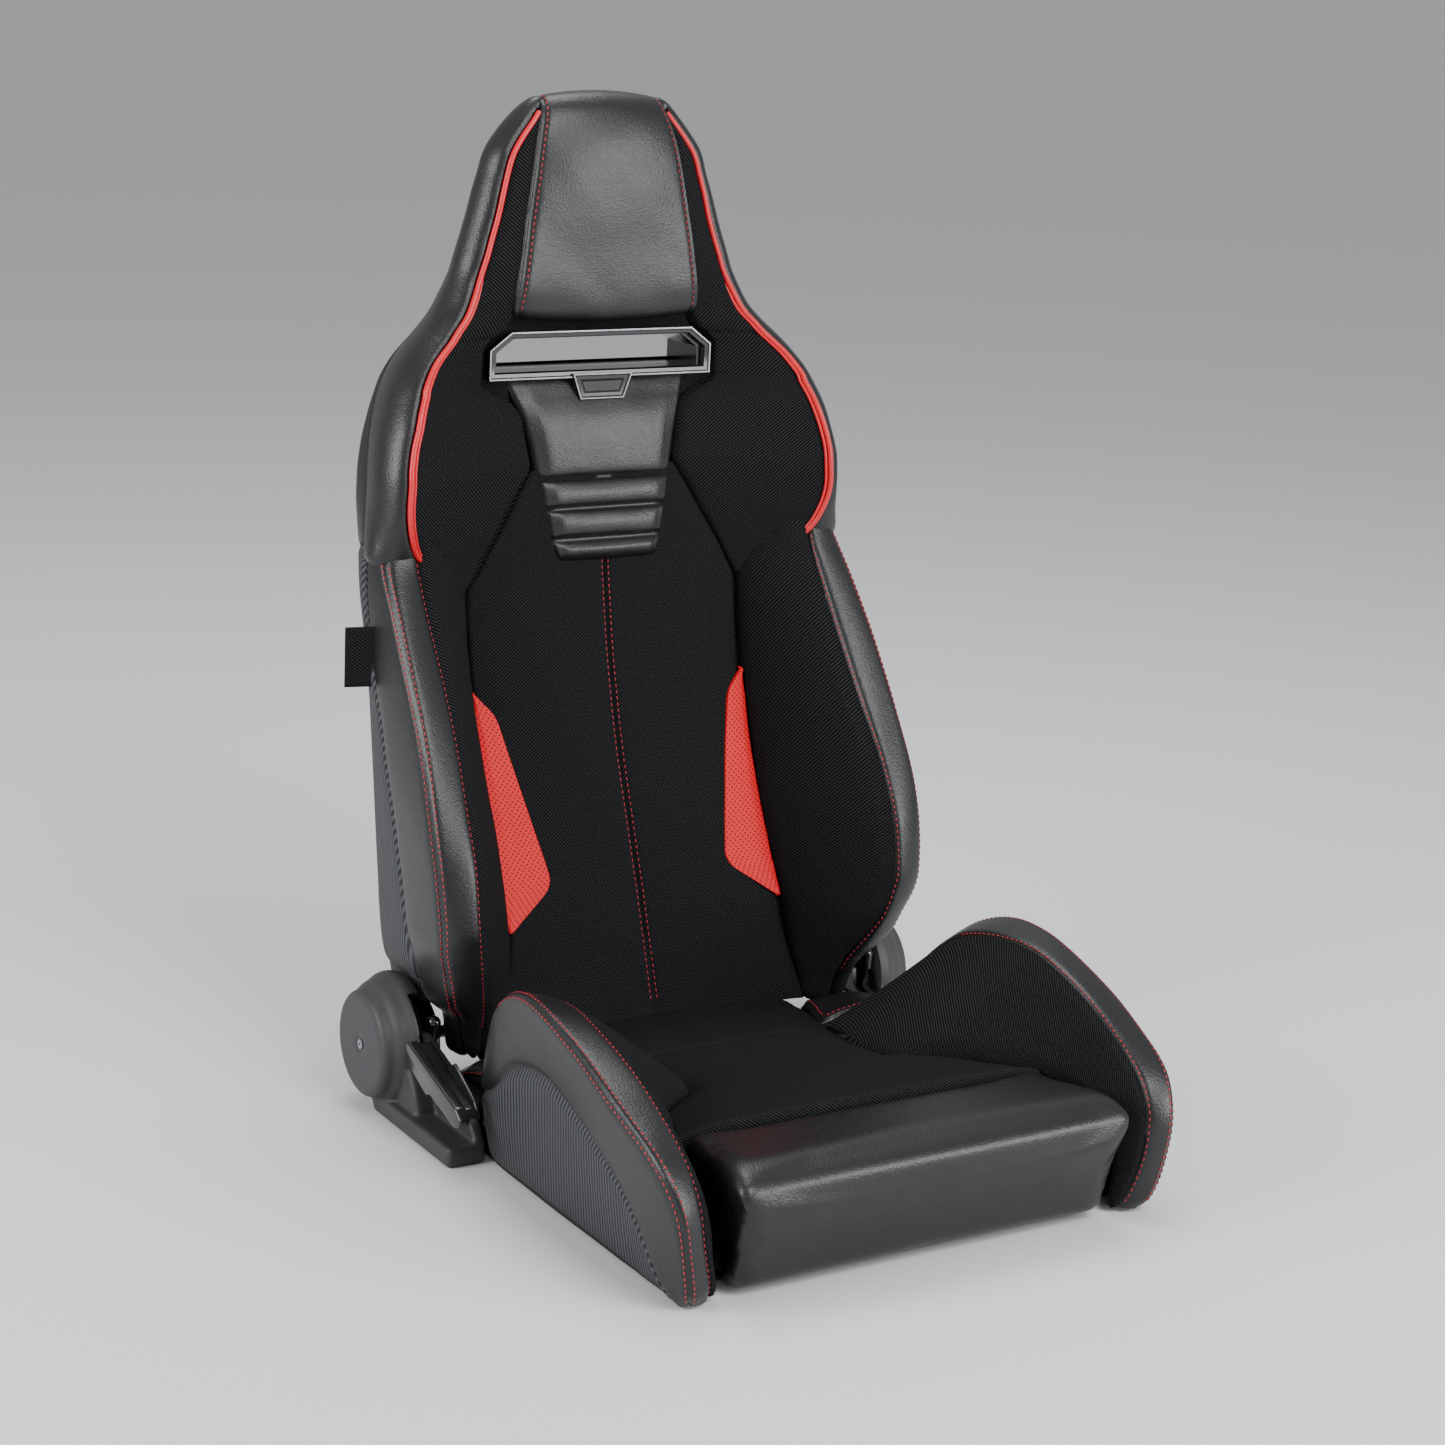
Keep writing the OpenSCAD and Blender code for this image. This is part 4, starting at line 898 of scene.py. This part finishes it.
for side_name, side in (("left", 1), ("right", -1)):
    rows = []
    for z, inner_x, inner_y, outer_x, outer_y in SHOULDER:
        row = [(inner_x - 2, inner_y + 8, z)]
        for part, bow in ((0, 0), (0.25, 3), (0.5, 4), (0.75, 3), (1, 0)):
            row.append((inner_x + part * (outer_x - inner_x),
                inner_y + part * (outer_y - inner_y) + bow * (outer_x - inner_x) / 120, z))
        row.append((outer_x + 2, outer_y + 9, z + 0.5))
        rows.append(row)
    cloth = Cover(
        "shoulder_wing_" + side_name, mirrored(rows, side), (side * 160, 700, 700), [twill], [0], columns=9,
        lines=5, seams=(1, 5),
        crown=(4,), cross_seams=(15,), depth=2.2, width=3.0,
    )
    settled(cloth.piece, "back", "shoulder_" + side_name)

    rows = []
    for z, wide_x, wide_y, seam_x, seam_y, rear_x, rear_y, middle_y in FLANK:
        pipe_x = float(np.interp(z, [s[0] for s in SHOULDER], [s[3] for s in SHOULDER]))
        pipe_y = float(np.interp(z, [s[0] for s in SHOULDER], [s[4] for s in SHOULDER]))
        rows.append([
            (pipe_x - 3, pipe_y + 8, z), (pipe_x + 1, pipe_y, z),
            ((pipe_x + 2 * wide_x) / 3, (2 * pipe_y + wide_y) / 3, z),
            (wide_x, wide_y, z), ((wide_x + seam_x) / 2 + 1, (wide_y + seam_y) / 2, z), (seam_x, seam_y, z),
            (seam_x - 8, seam_y + 3, z),
        ])
    rows.insert(0, [(x - 0.06 * (x - 200), y + 5, 519) for x, y, z in rows[0]])
    rows.append([(60, y + 0.4 * (375 - y), 936) for x, y, z in rows[-1]])
    flank = Cover(
        "shoulder_flank_" + side_name, mirrored(rows, side), (side * 150, 370, 640), [leatherette], [0],
        columns=6, lines=5, seams=(1, 5),
        crown=(8,), depth=1.6, width=2.6, curved=True,
    )
    settled(flank.piece, "back")

    # Piping: a red cord sewn into the seam between cloth and leatherette, and beside it the flat
    # edge of the strip that holds it
    route = [(s[3], s[4], s[0]) for s in SHOULDER if s[0] >= 506]
    for cord_name, radius, inward, forward in (("cord", 2.7, 0.0, 2.6), ("edge", 1.5, 4.6, 2.6)):
        line = bpy.data.curves.new("piping", "CURVE")
        line.dimensions = "3D"
        line.bevel_depth = radius * MM
        line.bevel_resolution = 3
        line.use_fill_caps = True
        run = line.splines.new("POLY")
        points = spline(np.array(route, float), np.linspace(0, len(route) - 1, 160))
        run.points.add(len(points) - 1)
        for spot, (x, y, z) in zip(run.points, points):
            spot.co = (side * (x - inward) * MM, (y - forward + 0.35 * inward) * MM, z * MM, 1)
        drawn = bpy.data.objects.new(f"piping_{cord_name}_{side_name}", line)
        bpy.context.scene.collection.objects.link(drawn)
        line.materials.append(red_piping)
        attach(drawn, "back")
        if cord_name == "cord":
            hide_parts("piping_" + side_name)

# ---------------------------------------------------------------------------------------------
# Headrest pad: a proud leatherette cushion that starts with a rolled lower edge above the
# slot, runs up the front and over the top, and is sewn down each side with a single row.
# ---------------------------------------------------------------------------------------------
# front or top at the middle (y, z), at the seam (y, z), half width at the seam
HEAD = [
    [360, 736, 359, 737, 86], [353, 733.5, 352, 736, 90], [346, 735, 345, 737.5, 93.5],
    [341.5, 740, 340, 742, 96], [339, 749, 337, 751, 97],
    [338, 768, 334, 768, 95], [338, 803, 336, 803, 90], [337, 837, 339, 837, 85], [338, 871, 342, 871, 79],
    [342, 905, 347, 904, 73],
    [350, 930, 354, 927, 67], [361, 943, 363, 939, 64], [374, 947, 374, 943, 62], [388, 944, 387, 940, 61],
    [398, 934, 396, 931, 61],
]
rows = []
for y, z, seam_y, seam_z, half in HEAD:
    row = []
    for part in (-1.07, -1.05, -1, -0.75, -0.4, 0, 0.4, 0.75, 1, 1.05, 1.07):
        mix = min(abs(part), 1.0) ** 2
        sink = 12 if abs(part) > 1.06 else 4 if abs(part) > 1.04 else 0
        back_y = sink * (0.15 if z > 938 else 1.0)
        down_z = sink * (1.0 if z > 938 else 0.1)
        row.append((part * half, y + (seam_y - y) * mix + back_y, z + (seam_z - z) * mix - down_z))
    rows.append(row)
head = Cover(
    "headrest_pad", rows, (0, 400, 830), [leatherette], [0], columns=7, lines=8, seams=(2, 8), crown=(3,),
    depth=1.4, width=2.4,
    slack=0.5, curved=True,
)
settled(head.piece, "back", "head_pad")
for row_name, station in (("left", 8), ("right", 2)):
    row = sewing("headrest_stitches_" + row_name,
        *head.beside(station, 3.0 if station == 2 else -3.0, 0.24, 0.93), "back")

# ---------------------------------------------------------------------------------------------
# Throat pad: a leatherette trapezoid under the slot, plain at the top, with three sewn
# channels below and a rounded lower lip. Its face is left blank.
# ---------------------------------------------------------------------------------------------
# height, half width, front, and how far the channels between the seams stand out
THROAT = [
    [499, 44, 333, 0], [500, 50, 325, 0], [505, 55, 321.5, 2.0], [513, 58, 321, 3.4], [522, 61, 323, 0],
    [529, 62.5, 323, 3.0],
    [538, 64, 324, 4.2], [546, 65.7, 325.5, 3.0], [552, 67, 327, 0], [559, 68.5, 327.5, 3.0],
    [567, 70, 329, 4.2], [575, 71.6, 331, 3.0],
    [581, 73, 333, 0], [588, 74.5, 334, 3.0], [600, 77, 336, 4.4], [620, 81, 339, 4.8], [638, 86, 342.5, 4.2],
    [650, 90, 346, 3.0],
    [660, 94, 350, 1.6], [668, 97, 353, 0.6], [677, 100, 357, 0],
]
rows = []
for z, half, y, proud in THROAT:
    row = []
    for part, sink in ((-1.04, 9), (-1.015, 3), (-0.97, 0), (-0.8, -1), (-0.4, -1), (0, -1), (0.4, -1),
        (0.8, -1), (0.97, 0), (1.015, 3), (1.04, 9)):
        row.append((part * half, y + sink - proud * (1 - abs(part) ** 6), z))
    rows.append(row)
throat = Cover(
    "throat_pad", rows, (0, 700, 580), [leatherette], [0], columns=6, lines=5, cross_seams=(4, 8, 12),
    depth=2.2, width=2.2, slack=0.4,
)
settled(throat.piece, "back", "channel_pad")

# ---------------------------------------------------------------------------------------------
# Slot surround: the cloth that is pulled in behind the frame of the harness slot. It is a
# recessed band, glued to the foam round the opening.
# ---------------------------------------------------------------------------------------------
slot_z = 700.0


def in_slot(at, half, above, below, cut):
    """True where a place is inside the slot's outline, with its upper corners cut off."""
    x, z = abs(at.x), at.z - slot_z
    return x < half and -below < z < above and x + z < half + above - cut


rows = [[(x, 356 + (3 if abs(x) > 120 else 0), z) for x in np.linspace(-132, 132,
    9)] for z in np.linspace(634, 742, 7)]
surround = Cover(
    "slot_surround", rows, (0, 700, 700), [twill], [0], columns=8, lines=6, slack=0.2,
    skip=lambda at: in_slot(at, 116, 19, 19, 16),
)
settled(surround.piece, "back", "chest_foam")

# ---------------------------------------------------------------------------------------------
# Slot frame: gloss black ABS with a raised rim whose edges are polished bright. Its upper
# corners are cut off, and a tongue in the middle of the sill carries a blank plate.
# ---------------------------------------------------------------------------------------------
bright_edge, tree, shader = material("polished smoke chrome", Metallic=1.0, Roughness=0.22)
place = add(tree, "ShaderNodeTexCoord").outputs["Object"]
tarnish = add(tree, "ShaderNodeTexNoise", {"Vector": place, "Scale": 60.0, "Detail": 2.0})
tone = add(tree, "ShaderNodeMix",
    {"Factor": tarnish.outputs["Fac"], "A": linear("#7d8084"), "B": linear("#9fa2a6")}, data_type="RGBA")
tree.links.new(tone.outputs["Result"], shader.inputs["Base Color"])


def frame_plate(bm, outline, front, back, rims):
    """A plate facing front whose edge steps in by each rim: (inset, move along Y), in millimetres."""
    corners = [bm.verts.new((x * MM, front * MM, z * MM)) for x, z in outline]
    face = bm.faces.new(corners)
    if face.normal.y > 0 or face.calc_area() == 0:
        bmesh.ops.reverse_faces(bm, faces=[face])
    skirt = bmesh.ops.extrude_edge_only(bm, edges=list(face.edges))["geom"]
    bmesh.ops.translate(bm, verts=[g for g in skirt if isinstance(g, bmesh.types.BMVert)],
        vec=(0, (back - front) * MM, 0))
    for inset, move in rims:
        bmesh.ops.inset_region(bm, faces=[face], thickness=inset * MM, use_even_offset=True)
        bmesh.ops.translate(bm, verts=list(face.verts), vec=(0, move * MM, 0))
    return face


frame_front, frame_rear, tongue_front = 345.5, 418.5, 343.0
frame_outline = [(-123, 677), (-123, 706), (-100, 723), (100, 723), (123, 706), (123, 677)]
for name, front, way, node in (("slot_frame", frame_front, 1, "slot_bezel"),
    ("rear_slot_frame", frame_rear, -1, "rear_bezel")):
    bm = bmesh.new()
    face = frame_plate(bm, frame_outline, front, front + way * 9,
        [(1.5, 0), (1.0, way * 1.2), (2.2, way * 0.3), (1.0, way * 0.2), (0.9, way * 1.5), (2.2, way * 14)])
    bmesh.ops.delete(bm, geom=[face], context="FACES")
    bmesh.ops.recalc_face_normals(bm, faces=bm.faces)
    for f in bm.faces:
        spot = f.calc_center_median()
        if abs(spot.y - front * MM) < 0.2 * MM:
            f.material_index = 1
    ring = finished(name, bm, [gloss_abs, bright_edge], 25)
    thick = ring.modifiers.new("wall", "SOLIDIFY")
    thick.thickness = 1.2 * MM
    thick.offset = -1.0
    settled(ring, "back", node)

bm = bmesh.new()
frame_plate(bm, [(-33, 681), (33, 681), (24, 656), (-24, 656)], tongue_front, 354,
    [(1.3, 0), (1.3, 1.2), (3.0, 0.2), (1.2, -1.0), (1.0, 0.6)])
bmesh.ops.recalc_face_normals(bm, faces=bm.faces)
for f in bm.faces:
    if abs(f.calc_center_median().y - tongue_front * MM) < 0.2 * MM:
        f.material_index = 1
badge = finished("blank_tongue_plate", bm, [gloss_abs, bright_edge], 25)
settled(badge, "back", "bezel_badge")

# ---------------------------------------------------------------------------------------------
# Rear cover: ribbed vinyl round the lower back and leatherette behind the shoulders and the
# head, stretched over a moulded board that is clipped to the frame.
# ---------------------------------------------------------------------------------------------
# height, side seam (x, y), rear corner (x, y), middle of the rear
LOWER_BACK = [
    [112, 243, 206, 242, 286, 298], [118, 244, 207, 243, 290, 302], [128, 245, 208, 244, 293, 305],
    [138, 253, 208, 248, 296, 309], [160, 259, 211, 249, 303, 315],
    [185, 262, 216, 249, 308, 321], [210, 263, 222, 248, 313, 327], [260, 263, 238, 248, 321, 340],
    [310, 263, 257, 248, 327, 352],
    [365, 262, 279, 248, 335, 365], [420, 262, 303, 246, 347, 377], [475, 261, 324, 244, 364, 388],
    [508, 257, 336, 242, 376, 394],
]
rows = []
table = [r[:] for r in LOWER_BACK] + [[f[0], f[3], f[4], f[5], f[6], f[7]] for f in FLANK]
for z, seam_x, seam_y, rear_x, rear_y, middle_y in table:
    half = [(seam_x - 6, seam_y - 3), (seam_x, seam_y), ((seam_x + rear_x) / 2 + 1.5, (seam_y + rear_y) / 2),
        (rear_x, rear_y - 3),
            (rear_x * 0.94, rear_y + (middle_y - rear_y) * 0.3),
            (rear_x * 0.75, rear_y + (middle_y - rear_y) * 0.62),
            (rear_x * 0.4, rear_y + (middle_y - rear_y) * 0.92), (0, middle_y)]
    rows.append([(x, y, z) for x, y in half] + [(-x, y, z) for x, y in half[-2::-1]])
rows.insert(0, [(0.96 * x, 250 + 0.93 * (y - 250), 108) for x, y, z in rows[0]])
rows.append([(x * 0.9, 386 + (y - 386) * 0.6, 937) for x, y, z in rows[-1]])
split = 1 + len(LOWER_BACK)
rear = Cover(
    "rear_cover", rows, (0, 330, 500), [leatherette, ribbed], [1], columns=6, lines=5, seams=(1, 3, 11, 13),
    crown=(1.5, 5, 1.5),
    cross_seams=(split,), depth=1.8, width=3.0, curved=True, slack=0.4,
    skip=lambda at: at.y > 380 and in_slot(at, 117, 20, 20, 18),
)
for face in rear.piece.data.polygons:
    if face.center.z > 520 * MM:
        face.material_index = 0
settled(rear.piece, "back", "back_shell")

# ---------------------------------------------------------------------------------------------
# Side tag: a folded black ribbon sewn into the side seam on the lever's side, left blank.
# ---------------------------------------------------------------------------------------------
rows = []
for z in np.linspace(399, 457, 5):
    rows.append([(-258 - 25 * t + 3 * math.sin(3 * t), 300 + 17 * t + 2 * t * t, z - 3 * t) for t in (0, 0.25,
        0.5, 0.75, 1)])
tag = Cover("side_tag_ribbon", rows, (-262, 360, 400), [twill], [0], columns=5, lines=5, slack=0.3, wall=1.3,
    curved=True)
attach(tag.piece, "back")
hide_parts("side_tag")
